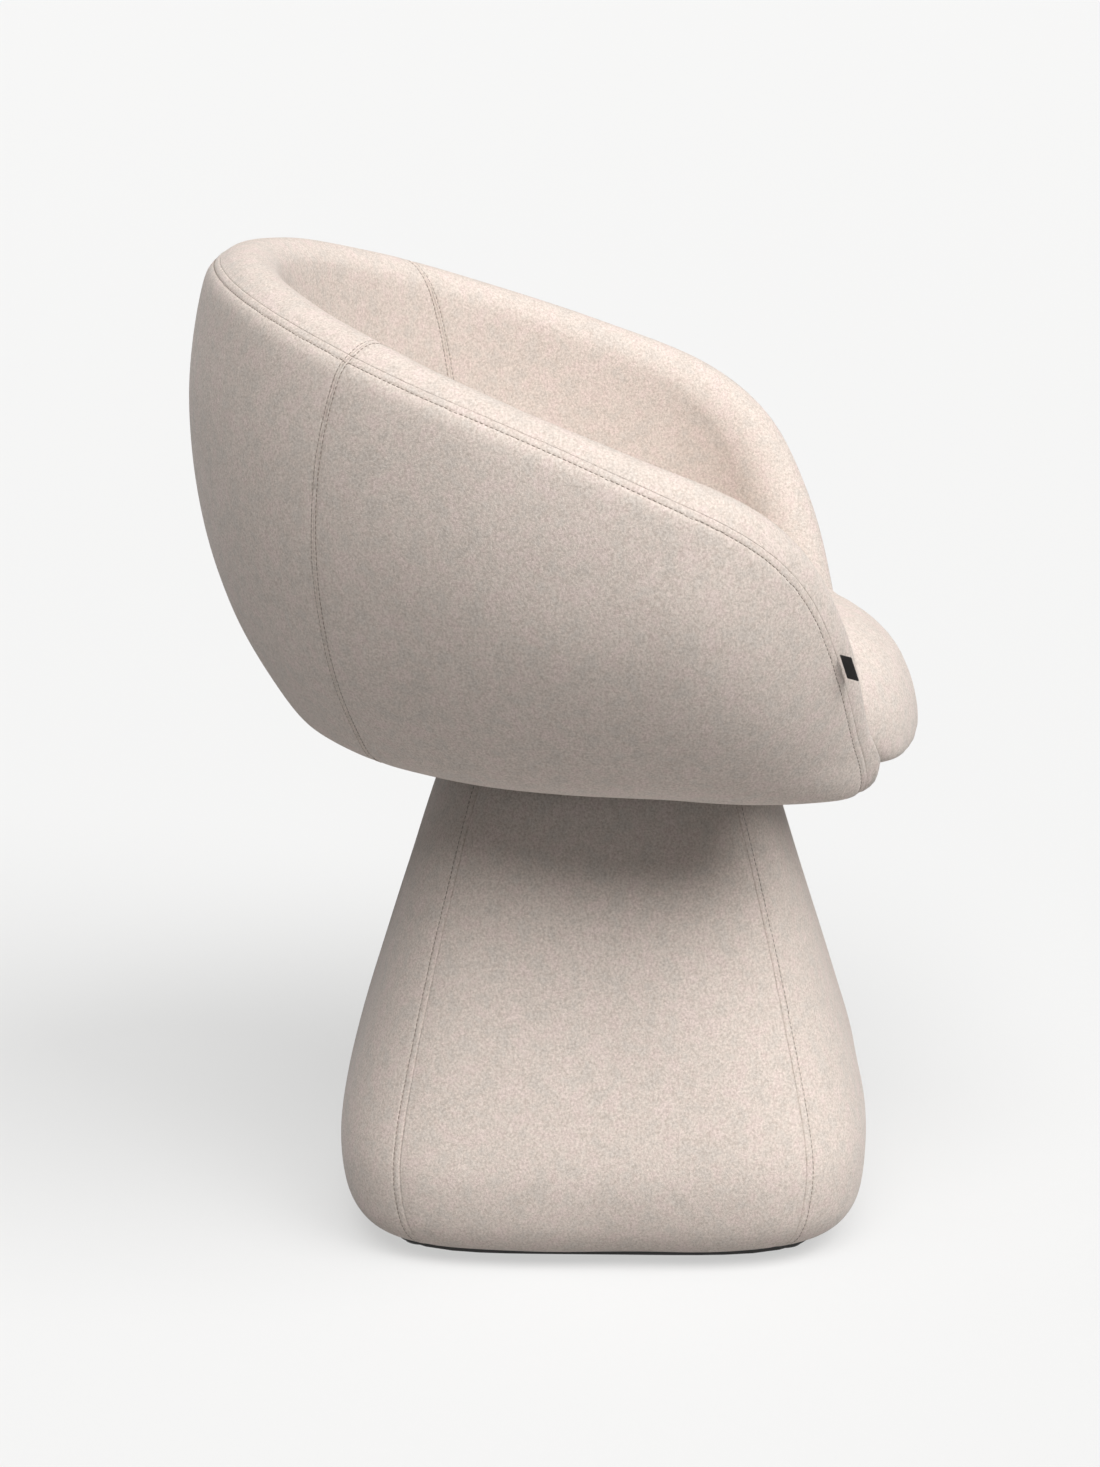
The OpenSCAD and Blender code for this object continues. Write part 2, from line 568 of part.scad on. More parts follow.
// Closed wall between two stacks of rings, open at its foot and at its top
module tube_skin(outer, inner) {
    n = len(outer[0]);
    m = len(outer);
    b = m * n;
    t = (m - 1) * n;
    walls = [for (i = [0:m - 2], j = [0:n - 1]) let (k = (j + 1) % n, p = i * n + j, q = i * n + k,
        r = p + n, s = q + n) each [[p, s, q], [p, r, s], [b + p, b + q, b + s], [b + p, b + s, b + r]]];
    rims = [for (j = [0:n - 1]) let (k = (j + 1) % n) each [[j, k, b + k], [j, b + k, b + j],
        [t + j, b + t + k, t + k], [t + j, b + t + j, b + t + k]]];
    polyhedron([for (g = [outer, inner]) each [for (r = g) each r]], concat(walls, rims), convexity = 6);
}

// Boards, ribs and ballast inside the pedestal
edge_gap = 1.5;
board_points = 64;
function board_ring(z, inset) = [for (k = [0:board_points - 1])
    let (p = flank_point(360 * k / board_points, z, inset)) [p.x, p.y]];
ballast_screw_edge = 20;
ballast_screw_at = ballast_w / 2 - ballast_screw_edge;
ballast_screw_r = 2.5;
ballast_bite = 12;
ballast_head_r = 5;
ballast_head_t = 3;
glide_place = 0.78 * hem_half;
glide_r = 15;
glide_screw_r = 1.8;
glide_bite = 11;
module at_corners(d) { for (x = [-d, d], y = [-d, d]) translate([x, y, 0]) children(); }
module bottom_board() {
    color(black) difference() {
        translate([0, 0, glide_h]) linear_extrude(board_t) polygon(board_ring(hem_z, layer + edge_gap));
        at_corners(ballast_screw_at) translate([0, 0, board_top_z - ballast_bite - cut])
            cylinder(r = ballast_screw_r, h = ballast_bite + 2 * cut, $fn = 16);
        at_corners(glide_place) translate([0, 0, glide_h - cut])
            cylinder(r = glide_screw_r, h = glide_bite + 2 * cut, $fn = 16);
    }
}
module ballast_plate() {
    color(steel) difference() {
        translate([-ballast_w / 2, -ballast_w / 2, board_top_z]) cube([ballast_w, ballast_w, ballast_t]);
        at_corners(ballast_screw_at) translate([0, 0, board_top_z - cut])
            cylinder(r = ballast_screw_r + 0.5, h = ballast_t + 2 * cut, $fn = 24);
    }
}
module ballast_screws() {
    shank = ballast_t + ballast_bite;
    color(zinc) at_corners(ballast_screw_at) translate([0, 0, board_top_z + ballast_t]) {
        cylinder(r = ballast_head_r, h = ballast_head_t, $fn = 24);
        translate([0, 0, -shank]) cylinder(r = ballast_screw_r - 0.1, h = shank + 0.1, $fn = 16);
    }
}
neck_board_z = base_height - board_t;
rib_in = core_in + core_t + edge_gap;
rib_levels = concat([for (z = core_levels) if (z < neck_board_z) z], [neck_board_z]);
function rib_half(z) = flank_half(z) - rib_in;
bore_r = spindle_r + run_gap;
tube_bore = bore_r + bush_wall + run_gap;
hub_r = tube_bore + hub_wall;
washer_t = 2;
clip_t = 1.5;
clip_deep = 1.2;
spindle_tip = 6;
hub_foot = plate_z - spindle_l + clear + washer_t + clip_t + spindle_tip;
notch_half = hub_r + 3;
notch_z = plate_z - spindle_l - 8;
lap_z = (notch_z + board_top_z) / 2;
window_x = 0.42 * foot_half;
low_window_z = foot_wide_z + 30;
low_window_r = 34;
high_window_z = foot_wide_z + 120;
high_window_r = 24;
module rib_outline() {
    difference() {
        polygon(concat([for (z = rib_levels) [rib_half(z), z]],
            [for (k = [len(rib_levels) - 1:-1:0]) [-rib_half(rib_levels[k]), rib_levels[k]]]));
        translate([-notch_half, notch_z]) square([2 * notch_half, neck_board_z]);
        translate([-ballast_w / 2 - 1, 0])
            square([ballast_w + 2, board_top_z + ballast_t + ballast_head_t + 0.5]);
        for (side = [-1, 1]) {
            translate([side * window_x, low_window_z]) circle(r = low_window_r, $fn = 40);
            translate([side * window_x, high_window_z]) circle(r = high_window_r, $fn = 32);
        }
    }
}
module upright_rib() { rotate([90, 0, 0]) translate([0, 0, -rib_t / 2]) linear_extrude(rib_t) children(); }
lap_half = rib_t / 2 + 0.2;
module rib_left_right() {
    color(ply) upright_rib() difference() {
        rib_outline();
        translate([-lap_half, lap_z]) square([2 * lap_half, neck_board_z]);
    }
}
module rib_front_back() {
    color(ply) rotate(90) upright_rib() difference() {
        rib_outline();
        translate([-lap_half, 0]) square([2 * lap_half, lap_z + 0.2]);
    }
}
hub_bolt_edge = 18;
hub_bolt_ring = hub_flange_r - hub_bolt_edge;
bolt_hole_gap = 0.4;
module at_hub_bolts() { for (k = [0:3]) rotate(45 + 90 * k) translate([hub_bolt_ring, 0, 0]) children(); }
bolt_r = bolt_d / 2;
module top_board() {
    color(ply) difference() {
        translate([0, 0, neck_board_z]) cylinder(r = neck_half - rib_in - 1, h = board_t, $fn = 72);
        translate([0, 0, neck_board_z - cut]) cylinder(r = hub_r + 0.8, h = board_t + 2 * cut, $fn = 48);
        at_hub_bolts() translate([0, 0, neck_board_z - cut])
            cylinder(r = bolt_r + bolt_hole_gap, h = board_t + 2 * cut, $fn = 24);
    }
}

// Glides: domed plastic discs, each screwed up into a corner of the board
glide_hole_r = 2.2;
glide_sink_r = 4.6;
glide_sink = 1.4;
module glides() {
    color(black) at_corners(glide_place) rotate_extrude($fn = 40) polygon([[glide_hole_r, glide_sink],
        [glide_sink_r, glide_sink], [glide_sink_r, 0], [glide_r - 3, 0], [glide_r - 1, 1],
        [glide_r, 2.6], [glide_r, glide_h], [glide_hole_r, glide_h]]);
}
glide_head_r = 3.8;
module glide_screws() {
    shank_r = glide_screw_r - 0.1;
    color(zinc) at_corners(glide_place) rotate_extrude($fn = 24) polygon([[0, 0.3],
        [glide_head_r - 0.2, 0.3], [glide_head_r, 0.9], [glide_head_r, glide_sink - 0.1],
        [shank_r, glide_sink - 0.1], [shank_r, glide_h + glide_bite - 2], [0, glide_h + glide_bite]]);
}

// Swivel: a flanged tube in the pedestal, two bushes, a thrust washer and the seat's spindle
edge_chamfer = 1;
bush_chamfer = 0.6;
weld = 4;
flange_top = base_height + hub_flange_t;
module swivel_hub() {
    color(steel) difference() {
        rotate_extrude($fn = 72) polygon([[tube_bore, hub_foot], [hub_r, hub_foot], [hub_r, base_height],
            [hub_flange_r, base_height], [hub_flange_r, flange_top - edge_chamfer],
            [hub_flange_r - edge_chamfer, flange_top], [hub_r + weld, flange_top],
            [hub_r, flange_top + weld], [hub_r, hub_top], [tube_bore, hub_top]]);
        at_hub_bolts() translate([0, 0, base_height - cut])
            cylinder(r = bolt_r + bolt_hole_gap, h = hub_flange_t + 2 * cut, $fn = 24);
    }
}
module bush(z) {
    bush_r = bore_r + bush_wall;
    translate([0, 0, z]) rotate_extrude($fn = 48) polygon([[bore_r, 0], [bush_r - bush_chamfer, 0],
        [bush_r, bush_chamfer], [bush_r, bush_h], [bore_r, bush_h]]);
}
module upper_bush() { color(nylon) bush(hub_top - bush_h); }
module lower_bush() { color(nylon) bush(hub_foot); }
module thrust_washer() {
    thrust_r = hub_r + 6;
    color(nylon) translate([0, 0, hub_top]) rotate_extrude($fn = 48) polygon([[bore_r, 0], [thrust_r, 0],
        [thrust_r, thrust_t - bush_chamfer], [thrust_r - bush_chamfer, thrust_t], [bore_r, thrust_t]]);
}
bolt_head_r = 0.8 * bolt_d;
bolt_head_t = 0.5 * bolt_d;
bolt_tail = 3;
bolt_chamfer = 0.6;
module hub_bolts() {
    tail_z = neck_board_z - bolt_d - bolt_tail;
    color(zinc) at_hub_bolts() rotate_extrude($fn = 24) polygon([[0, tail_z],
        [bolt_r - bolt_chamfer, tail_z], [bolt_r, tail_z + bolt_chamfer], [bolt_r, flange_top], [bolt_head_r, flange_top],
        [bolt_head_r, flange_top + 1], [0.6 * bolt_head_r, flange_top + bolt_head_t],
        [0, flange_top + bolt_head_t]]);
}
nut_r = 0.94 * bolt_d;
nut_h = 0.8 * bolt_d;
nut_washer_t = 1.6;
nut_gap = 0.05;
module hub_nuts() {
    washer_foot = neck_board_z - nut_washer_t;
    color(zinc) at_hub_bolts() difference() {
        union() {
            translate([0, 0, washer_foot]) cylinder(r = bolt_d + 1, h = nut_washer_t, $fn = 24);
            translate([0, 0, washer_foot - nut_h]) cylinder(r = nut_r, h = nut_h + 0.1, $fn = 6);
        }
        translate([0, 0, washer_foot - nut_h - cut])
            cylinder(r = bolt_r + nut_gap, h = nut_h + nut_washer_t + 2 * cut, $fn = 24);
    }
}
washer_z = hub_foot - clear - washer_t;
clip_z = washer_z - clip_t;
spindle_foot = clip_z - spindle_tip;
groove_gap = 0.2;
tip_chamfer = 1.5;
plate_corner = 18;
plate_hole_r = 12;
plate_hole_at = 0.33 * plate_w;
module seat_spindle() {
    groove_r = spindle_r - clip_deep;
    groove_low = clip_z - groove_gap;
    groove_high = clip_z + clip_t + groove_gap;
    color(steel) difference() {
        union() {
            rotate_extrude($fn = 64) polygon([[0, spindle_foot], [spindle_r - tip_chamfer, spindle_foot],
                [spindle_r, spindle_foot + tip_chamfer], [spindle_r, groove_low], [groove_r, groove_low],
                [groove_r, groove_high], [spindle_r, groove_high], [spindle_r, board_z], [0, board_z]]);
            translate([0, 0, plate_z]) linear_extrude(plate_t) plate_outline();
        }
        at_seat_bolts() translate([0, 0, plate_z - cut])
            cylinder(r = bolt_r + bolt_hole_gap, h = plate_t + 2 * cut, $fn = 24);
        for (k = [0:3]) rotate(90 * k) translate([plate_hole_at, 0, plate_z - cut])
            cylinder(r = plate_hole_r, h = plate_t + 2 * cut, $fn = 32);
    }
}
module plate_outline() {
    c = plate_w / 2 - plate_corner;
    square([plate_w, 2 * c], center = true);
    square([2 * c, plate_w], center = true);
    for (x = [-c, c], y = [-c, c]) translate([x, y]) circle(r = plate_corner, $fn = 40);
}
module retaining_washer() {
    color(steel) translate([0, 0, washer_z]) difference() {
        cylinder(r = hub_r - 1, h = washer_t, $fn = 48);
        translate([0, 0, -cut]) cylinder(r = spindle_r + 0.1, h = washer_t + 2 * cut, $fn = 48);
    }
}
clip_r = spindle_r + 2.4;
clip_mouth = 8;
module circlip() {
    color(black) translate([0, 0, clip_z]) difference() {
        cylinder(r = clip_r, h = clip_t, $fn = 48);
        translate([0, 0, -cut]) cylinder(r = spindle_r - clip_deep + 0.1, h = clip_t + 2 * cut, $fn = 48);
        translate([0, -clip_mouth / 2, -cut]) cube([clip_r + cut, clip_mouth, clip_t + 2 * cut]);
    }
}
seat_bolt_top = board_top - tee_flange_t - 1;
module seat_bolts() {
    color(zinc) at_seat_bolts() {
        translate([0, 0, plate_z - bolt_head_t]) cylinder(r = bolt_head_r, h = bolt_head_t, $fn = 6);
        translate([0, 0, plate_z - 0.1]) cylinder(r = bolt_r, h = seat_bolt_top - plate_z, $fn = 24);
    }
}
module tee_nuts() {
    color(zinc) at_seat_bolts() difference() {
        union() {
            translate([0, 0, board_top - tee_flange_t])
                cylinder(r = tee_flange_r, h = tee_flange_t, $fn = 32);
            translate([0, 0, board_top - tee_l]) cylinder(r = tee_r, h = tee_l, $fn = 32);
        }
        translate([0, 0, board_z]) cylinder(r = bolt_r + nut_gap, h = seat_board_t + 2 * cut, $fn = 24);
    }
}

// Bare woven tab sewn into the seam of the right arm's front
tab_t = 0.9;
tab_u = 0.73;
tab_at = wall_row(turn_station(tab_u), 0, seam_row, 1);
tab_step = tab_at - wall_row(turn_station(tab_u + 0.04), 0, seam_row, 1);
tab_up = tab_step / norm(tab_step);
tab_plan = plan_out(angle_at(turn_at(tab_u).x));
tab_flat = [tab_plan.x, tab_plan.y, 0];
tab_dir = tab_flat - (tab_flat * tab_up) * tab_up;
tab_turn = atan2(tab_dir.y, tab_dir.x);
tab_tilt = -asin(tab_dir.z / norm(tab_dir));
tab_roll = asin(tab_up.x * sin(tab_turn) - tab_up.y * cos(tab_turn));
module label_tab() {
    color(black) mirror([1, 0, 0]) translate(tab_at) rotate([tab_roll, tab_tilt, tab_turn])
        translate([clear, -tab_t / 2, -tab_w / 2]) cube([tab_out, tab_t, tab_w]);
}

bottom_board();
ballast_plate();
ballast_screws();
rib_front_back();
rib_left_right();
top_board();
base_core();
base_front_panel();
base_back_panel();
base_left_panel();
base_right_panel();
glides();
glide_screws();
swivel_hub();
upper_bush();
lower_bush();
thrust_washer();
hub_bolts();
hub_nuts();
seat_spindle();
retaining_washer();
circlip();
seat_bolts();
tee_nuts();
seat_board();
tub_shell();
shell_screws();
back_foam();
left_foam();
right_foam();
seat_foam();
outer_back_cover();
outer_left_cover();
outer_right_cover();
inner_back_cover();
inner_left_cover();
inner_right_cover();
seat_cover();
underside_cover();
label_tab();
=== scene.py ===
# %% [markdown]
# # An upholstered tub chair that turns on its pedestal
# The chair is a curved wall of padding and a round cushion on a pedestal that flares to the floor.
# A melange wool cloth covers all of it, so nearly every surface in view is cloth.
# The CAD model is the fixed frame: it holds the boards, the swivel and the size of every padded form.
# This lesson lays cloth over that frame, sews it, and gives every piece the material of the real one.

# %% The frame and its size
import json
import math

import bmesh
import bpy
import numpy as np
from mathutils import Matrix, Vector, geometry, noise
from mathutils.bvhtree import BVHTree
from mathutils.kdtree import KDTree


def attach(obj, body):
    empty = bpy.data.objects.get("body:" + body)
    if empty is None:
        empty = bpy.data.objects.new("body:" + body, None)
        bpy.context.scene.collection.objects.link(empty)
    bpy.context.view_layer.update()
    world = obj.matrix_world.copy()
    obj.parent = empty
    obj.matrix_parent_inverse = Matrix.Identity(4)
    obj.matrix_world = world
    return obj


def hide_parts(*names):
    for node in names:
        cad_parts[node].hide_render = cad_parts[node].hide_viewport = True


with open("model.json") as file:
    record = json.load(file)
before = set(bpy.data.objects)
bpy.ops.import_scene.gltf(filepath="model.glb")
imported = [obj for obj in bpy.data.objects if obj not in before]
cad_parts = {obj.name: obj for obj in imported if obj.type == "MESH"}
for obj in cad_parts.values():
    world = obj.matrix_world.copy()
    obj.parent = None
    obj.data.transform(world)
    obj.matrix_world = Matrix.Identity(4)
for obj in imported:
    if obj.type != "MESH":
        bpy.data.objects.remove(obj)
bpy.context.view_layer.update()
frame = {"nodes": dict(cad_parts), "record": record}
scene = bpy.context.scene
MM = 0.001

# %% [markdown]
# ## The camera
# The photograph looks at the chair's right side, slightly from above, with a long lens.
# A long lens far away keeps the near and the far arm almost the same size, as in the photograph.
# The camera's place is worked out from the width of the tub and the height of its rim in the picture.

# %% Camera
camera_at = Vector((-2.569, -0.008, 1.121))
camera_looks_at = Vector((0.0, 0.0456, 0.384))
camera = bpy.data.objects.new("camera", bpy.data.cameras.new("camera"))
camera.data.lens = 80
camera.data.sensor_width = 36
camera.location = camera_at
camera.rotation_mode = "QUATERNION"
camera.rotation_quaternion = (camera_looks_at - camera_at).to_track_quat("-Z", "Y")
scene.collection.objects.link(camera)
scene.camera = camera
print("camera stands", round((camera_looks_at - camera_at).length, 2), "m away")

# %% [markdown]
# ## Colours and nodes
# A colour is picked as the hex value that a screen shows, but shaders add light, so they want linear values.
# One function turns the one into the other, and one function adds a node with its settings and links.

# %% Two helpers for materials
def colour(hex_code):
    """A screen's hex colour as the linear RGBA that shaders expect."""
    shares = [int(hex_code[k:k + 2], 16) / 255 for k in (1, 3, 5)]
    return [c / 12.92 if c <= 0.04045 else ((c + 0.055) / 1.055) ** 2.4 for c in shares] + [1.0]


def add_node(tree, kind, settings=None, inputs=None, ramp=None):
    """One node: its settings, its inputs as values or as sockets to link, and a ramp's colours."""
    node = tree.nodes.new("ShaderNode" + kind)
    for name, value in (settings or {}).items():
        setattr(node, name, value)
    for name, value in (inputs or {}).items():
        if isinstance(value, bpy.types.NodeSocket):
            tree.links.new(value, node.inputs[name])
        else:
            node.inputs[name].default_value = value
    if ramp:
        elements = node.color_ramp.elements
        while len(elements) < len(ramp):
            elements.new(1.0)
        for element, (place, value) in zip(elements, ramp):
            element.position = place
            element.color = value
    return node


def grey(level):
    return [level, level, level, 1.0]


# A Mix node in colour mode keeps its colour sockets under these numbers
MIX_A, MIX_B, MIX_OUT = 6, 7, 2


def start_material(name, roughness, metallic=0.0):
    """A new material with its tree, its shader and the piece's own coordinates in metres."""
    material = bpy.data.materials.new(name)
    material.use_nodes = True
    tree = material.node_tree
    shader = tree.nodes["Principled BSDF"]
    shader.inputs["Roughness"].default_value = roughness
    shader.inputs["Metallic"].default_value = metallic
    place = add_node(tree, "TexCoord").outputs["Object"]
    return material, tree, shader, place


# %% [markdown]
# ## Melange wool
# The cloth is a felted wool: fibres dyed in several shades are blended before spinning,
# then the weave is fulled. From a step away it is one warm greige. Close up it shows pale and grey flecks
# a few millimetres long, and here and there a pinkish cloud where one shade gathers.
# Three sizes of noise give that: clouds of about 14 mm, flecks of 2 mm and fibres of 0.7 mm.
# Real wool fibres are far finer than 0.7 mm, so they are drawn as coarse as they need to be to show.
# The fine fuzz catches light at the edges, which the shader's sheen does.

# %% Wool cloth
# One over the size of each pattern in metres
cloud_scale, fleck_scale, fibre_scale = 70, 520, 1500


def wool_cloth(name, tint):
    """Felted melange wool; tint holds the hex colours of its grey, its main and its pink fibres."""
    material, tree, shader, place = start_material(name, 0.92)
    shader.inputs["Sheen Weight"].default_value = 0.22
    shader.inputs["Sheen Roughness"].default_value = 0.45
    shader.inputs["Specular IOR Level"].default_value = 0.25
    clouds, flecks, fibres = [
        add_node(tree, "TexNoise", {}, {"Vector": place, "Scale": scale, "Detail": detail,
            "Roughness": rough})
        for scale, detail, rough in ((cloud_scale, 3, 0.6), (fleck_scale, 3, 0.7), (fibre_scale, 2, 0.6))]
    shade = add_node(tree, "ValToRGB", {}, {"Fac": clouds.outputs["Fac"]},
        [(0.36, colour(tint[0])), (0.5, colour(tint[1])), (0.64, colour(tint[2]))])
    fleck_shade = add_node(tree, "ValToRGB", {}, {"Fac": flecks.outputs["Fac"]},
        [(0.33, (0.77, 0.74, 0.72, 1)), (0.5, grey(0.96)), (0.67, (1.12, 1.14, 1.15, 1))])
    fibre_shade = add_node(tree, "ValToRGB", {}, {"Fac": fibres.outputs["Fac"]},
        [(0.3, grey(0.86)), (0.7, grey(1.1))])
    flecked = add_node(tree, "Mix", {"data_type": "RGBA", "blend_type": "MULTIPLY"},
        {0: 1.0, MIX_A: shade.outputs["Color"], MIX_B: fleck_shade.outputs["Color"]})
    fuzzy = add_node(tree, "Mix", {"data_type": "RGBA", "blend_type": "MULTIPLY"},
        {0: 1.0, MIX_A: flecked.outputs[MIX_OUT], MIX_B: fibre_shade.outputs["Color"]})
    tree.links.new(fuzzy.outputs[MIX_OUT], shader.inputs["Base Color"])
    fleck_bump = add_node(tree, "Bump", {}, {"Height": flecks.outputs["Fac"], "Strength": 0.35,
        "Distance": 0.8 * MM})
    fibre_bump = add_node(tree, "Bump", {}, {"Height": fibres.outputs["Fac"], "Strength": 0.5,
        "Distance": 0.4 * MM, "Normal": fleck_bump.outputs["Normal"]})
    tree.links.new(fibre_bump.outputs["Normal"], shader.inputs["Normal"])
    return material


wool = wool_cloth("felted_melange_wool", ["#D2C7BE", "#D8CBC1", "#DBCBC3"])
print("made", wool.name)

# %% [markdown]
# ## Sewing thread
# The seams are sewn with a polyester thread, a little smoother than wool. Its colour is the thread's own with
# painted shade on top: darker than the cloth, so that the stitches carry the shadow of their needle holes and
# groove.
# Its two plies twist round each other, which shows as fine slanting bands.

# %% Thread
thread, tree, shader, place = start_material("polyester_thread_with_painted_shade", 0.6)
plies = add_node(tree, "TexWave", {"bands_direction": "DIAGONAL"}, {"Vector": place, "Scale": 700,
    "Distortion": 1.5})
# Both colours are darker than the cloth: painted shade of the needle holes over the thread's own colour
ply_shade = add_node(tree, "ValToRGB", {}, {"Fac": plies.outputs["Fac"]},
    [(0.0, colour("#7E7268")), (1.0, colour("#A5988E"))])
tree.links.new(ply_shade.outputs["Color"], shader.inputs["Base Color"])
ply_bump = add_node(tree, "Bump", {}, {"Height": plies.outputs["Fac"], "Strength": 0.4, "Distance": 0.2 * MM})
tree.links.new(ply_bump.outputs["Normal"], shader.inputs["Normal"])
print("made", thread.name)

# %% [markdown]
# ## Materials of the frame
# Under the cloth are birch plywood, a black stained board, moulded plastic, soft foam and turned steel.
# None of them is a flat colour: wood has rings and fibres, moulded plastic a fine grain from its mould,
# foam its small cells, spunbonded cloth its tangled fibres, turned steel fine rings and zinc plating
# a cloudy spangle.

# %% Birch plywood
plywood, tree, shader, place = start_material("birch_plywood", 0.62)
stretched = add_node(tree, "Mapping", {}, {"Vector": place, "Scale": (4.0, 60.0, 60.0)})
rings = add_node(tree, "TexNoise", {}, {"Vector": stretched.outputs["Vector"], "Scale": 1.6, "Detail": 5,
    "Distortion": 0.6})
fine_grain = add_node(tree, "TexNoise", {}, {"Vector": stretched.outputs["Vector"], "Scale": 14, "Detail": 2})
ring_shade = add_node(tree, "ValToRGB", {}, {"Fac": rings.outputs["Fac"]},
    [(0.3, colour("#C39A68")), (0.55, colour("#DDBB8A")), (0.75, colour("#E8CDA2"))])
grain_shade = add_node(tree, "ValToRGB", {}, {"Fac": fine_grain.outputs["Fac"]},
    [(0.35, grey(0.86)), (0.6, grey(1.04))])
grained = add_node(tree, "Mix", {"data_type": "RGBA", "blend_type": "MULTIPLY"},
    {0: 1.0, MIX_A: ring_shade.outputs["Color"], MIX_B: grain_shade.outputs["Color"]})
tree.links.new(grained.outputs[MIX_OUT], shader.inputs["Base Color"])
grain_bump = add_node(tree, "Bump", {}, {"Height": fine_grain.outputs["Fac"], "Strength": 0.25,
    "Distance": 0.3 * MM})
tree.links.new(grain_bump.outputs["Normal"], shader.inputs["Normal"])
print("made", plywood.name)


# %% Plastics, boards and foam, each a base shade with a fine grain
def grained_material(name, dark, light, scale, roughness, bump, distance):
    """A matte material whose shade and height vary with one noise; scale is one over the grain in metres."""
    material, tree, shader, place = start_material(name, roughness)
    grain = add_node(tree, "TexNoise", {}, {"Vector": place, "Scale": scale, "Detail": 3, "Roughness": 0.6})
    shade = add_node(tree, "ValToRGB", {}, {"Fac": grain.outputs["Fac"]},
        [(0.35, colour(dark)), (0.65, colour(light))])
    tree.links.new(shade.outputs["Color"], shader.inputs["Base Color"])
    rough = add_node(tree, "MapRange", {}, {"Value": grain.outputs["Fac"], "To Min": roughness - 0.08,
        "To Max": roughness + 0.1})
    tree.links.new(rough.outputs["Result"], shader.inputs["Roughness"])
    bumps = add_node(tree, "Bump", {}, {"Height": grain.outputs["Fac"], "Strength": bump,
        "Distance": distance})
    tree.links.new(bumps.outputs["Normal"], shader.inputs["Normal"])
    return material


black_board = grained_material("black_stained_board", "#0E0D0C", "#1B1917", 260, 0.5, 0.3, 0.3 * MM)
black_plastic = grained_material("black_polyethylene", "#0B0B0B", "#151515", 1400, 0.42, 0.25, 0.2 * MM)
moulding = grained_material("grey_moulded_polypropylene", "#3A3B3C", "#48494A", 1200, 0.5, 0.3, 0.2 * MM)
nylon = grained_material("natural_nylon", "#DDDACC", "#E9E7DC", 900, 0.4, 0.1, 0.1 * MM)
foam = grained_material("polyurethane_foam", "#D8CC9E", "#EFE6BE", 700, 0.95, 0.8, 0.8 * MM)
black_cloth = grained_material("black_spunbonded_cloth", "#0D0D0D", "#1D1C1C", 1500, 0.9, 0.5, 0.3 * MM)


# %% Metals, turned or plated
def metal_finish(name, dark, light, scale, stretch, roughness):
    """Bare or plated steel; stretch lengthens the noise into the marks that a tool leaves."""
    material, tree, shader, place = start_material(name, roughness, 1.0)
    drawn = add_node(tree, "Mapping", {}, {"Vector": place, "Scale": stretch})
    marks = add_node(tree, "TexNoise", {}, {"Vector": drawn.outputs["Vector"], "Scale": scale, "Detail": 4})
    shade = add_node(tree, "ValToRGB", {}, {"Fac": marks.outputs["Fac"]},
        [(0.35, colour(dark)), (0.65, colour(light))])
    tree.links.new(shade.outputs["Color"], shader.inputs["Base Color"])
    rough = add_node(tree, "MapRange", {}, {"Value": marks.outputs["Fac"], "To Min": roughness - 0.08,
        "To Max": roughness + 0.12})
    tree.links.new(rough.outputs["Result"], shader.inputs["Roughness"])
    furrows = add_node(tree, "Bump", {}, {"Height": marks.outputs["Fac"], "Strength": 0.15,
        "Distance": 0.1 * MM})
    tree.links.new(furrows.outputs["Normal"], shader.inputs["Normal"])
    return material


turned_steel = metal_finish("turned_mild_steel", "#A6A8AA", "#C2C4C6", 60, (1.0, 1.0, 40.0), 0.38)
zinc_plate = metal_finish("zinc_plated_steel", "#B4B3A8", "#D2D2CC", 220, (1.0, 1.0, 1.0), 0.42)
black_spring = metal_finish("phosphated_spring_steel", "#26262A", "#34343A", 400, (1.0, 1.0, 1.0), 0.5)

# %% Each CAD node gets the material of the real piece
finishes = {
    "plywood": plywood, "black_board": black_board, "black_plastic": black_plastic, "moulding": moulding,
    "nylon": nylon, "foam": foam, "steel": turned_steel, "zinc": zinc_plate, "black_steel": black_spring,
    "black_cloth": black_cloth, "wool": wool}
for part in frame["record"]["subparts"]:
    mesh = frame["nodes"][part["node"]].data
    mesh.materials.clear()
    mesh.materials.append(finishes[part["material_slot"]])

# %% [markdown]
# ## Cloth over the wall
# On the real chair the cloth is cut in flat panels, sewn together inside out, turned and pulled over
# the padding. The CAD covers are those panels as thin solids, so their outward sides are the cloth
# that shows. Each side is taken from a copy of its CAD node and its triangles are joined back
# into a grid of quads, because a subdivision surface follows quads without ripples.

# %% A copy of a CAD node with its loose triangles merged
def node_copy(name):
    bm = bmesh.new()
    bm.from_mesh(frame["nodes"][name].data)
    bmesh.ops.remove_doubles(bm, verts=bm.verts, dist=0.01 * MM)
    return bm


# %% The outward side of a thin cover
# Faces that meet at more than this angle are on different sides of a cover
edge_angle = math.radians(55)


def smooth_regions(bm):
    """The faces in groups that meet at less than the edge angle, largest group first."""
    found, seen = [], set()
    for start in bm.faces:
        if start in seen:
            continue
        seen.add(start)
        group, waiting = [], [start]
        while waiting:
            face = waiting.pop()
            group.append(face)
            for edge in face.edges:
                if edge.calc_face_angle(math.pi) < edge_angle:
                    for other in edge.link_faces:
                        if other not in seen:
                            seen.add(other)
                            waiting.append(other)
        found.append(group)
    return sorted(found, key=len, reverse=True)


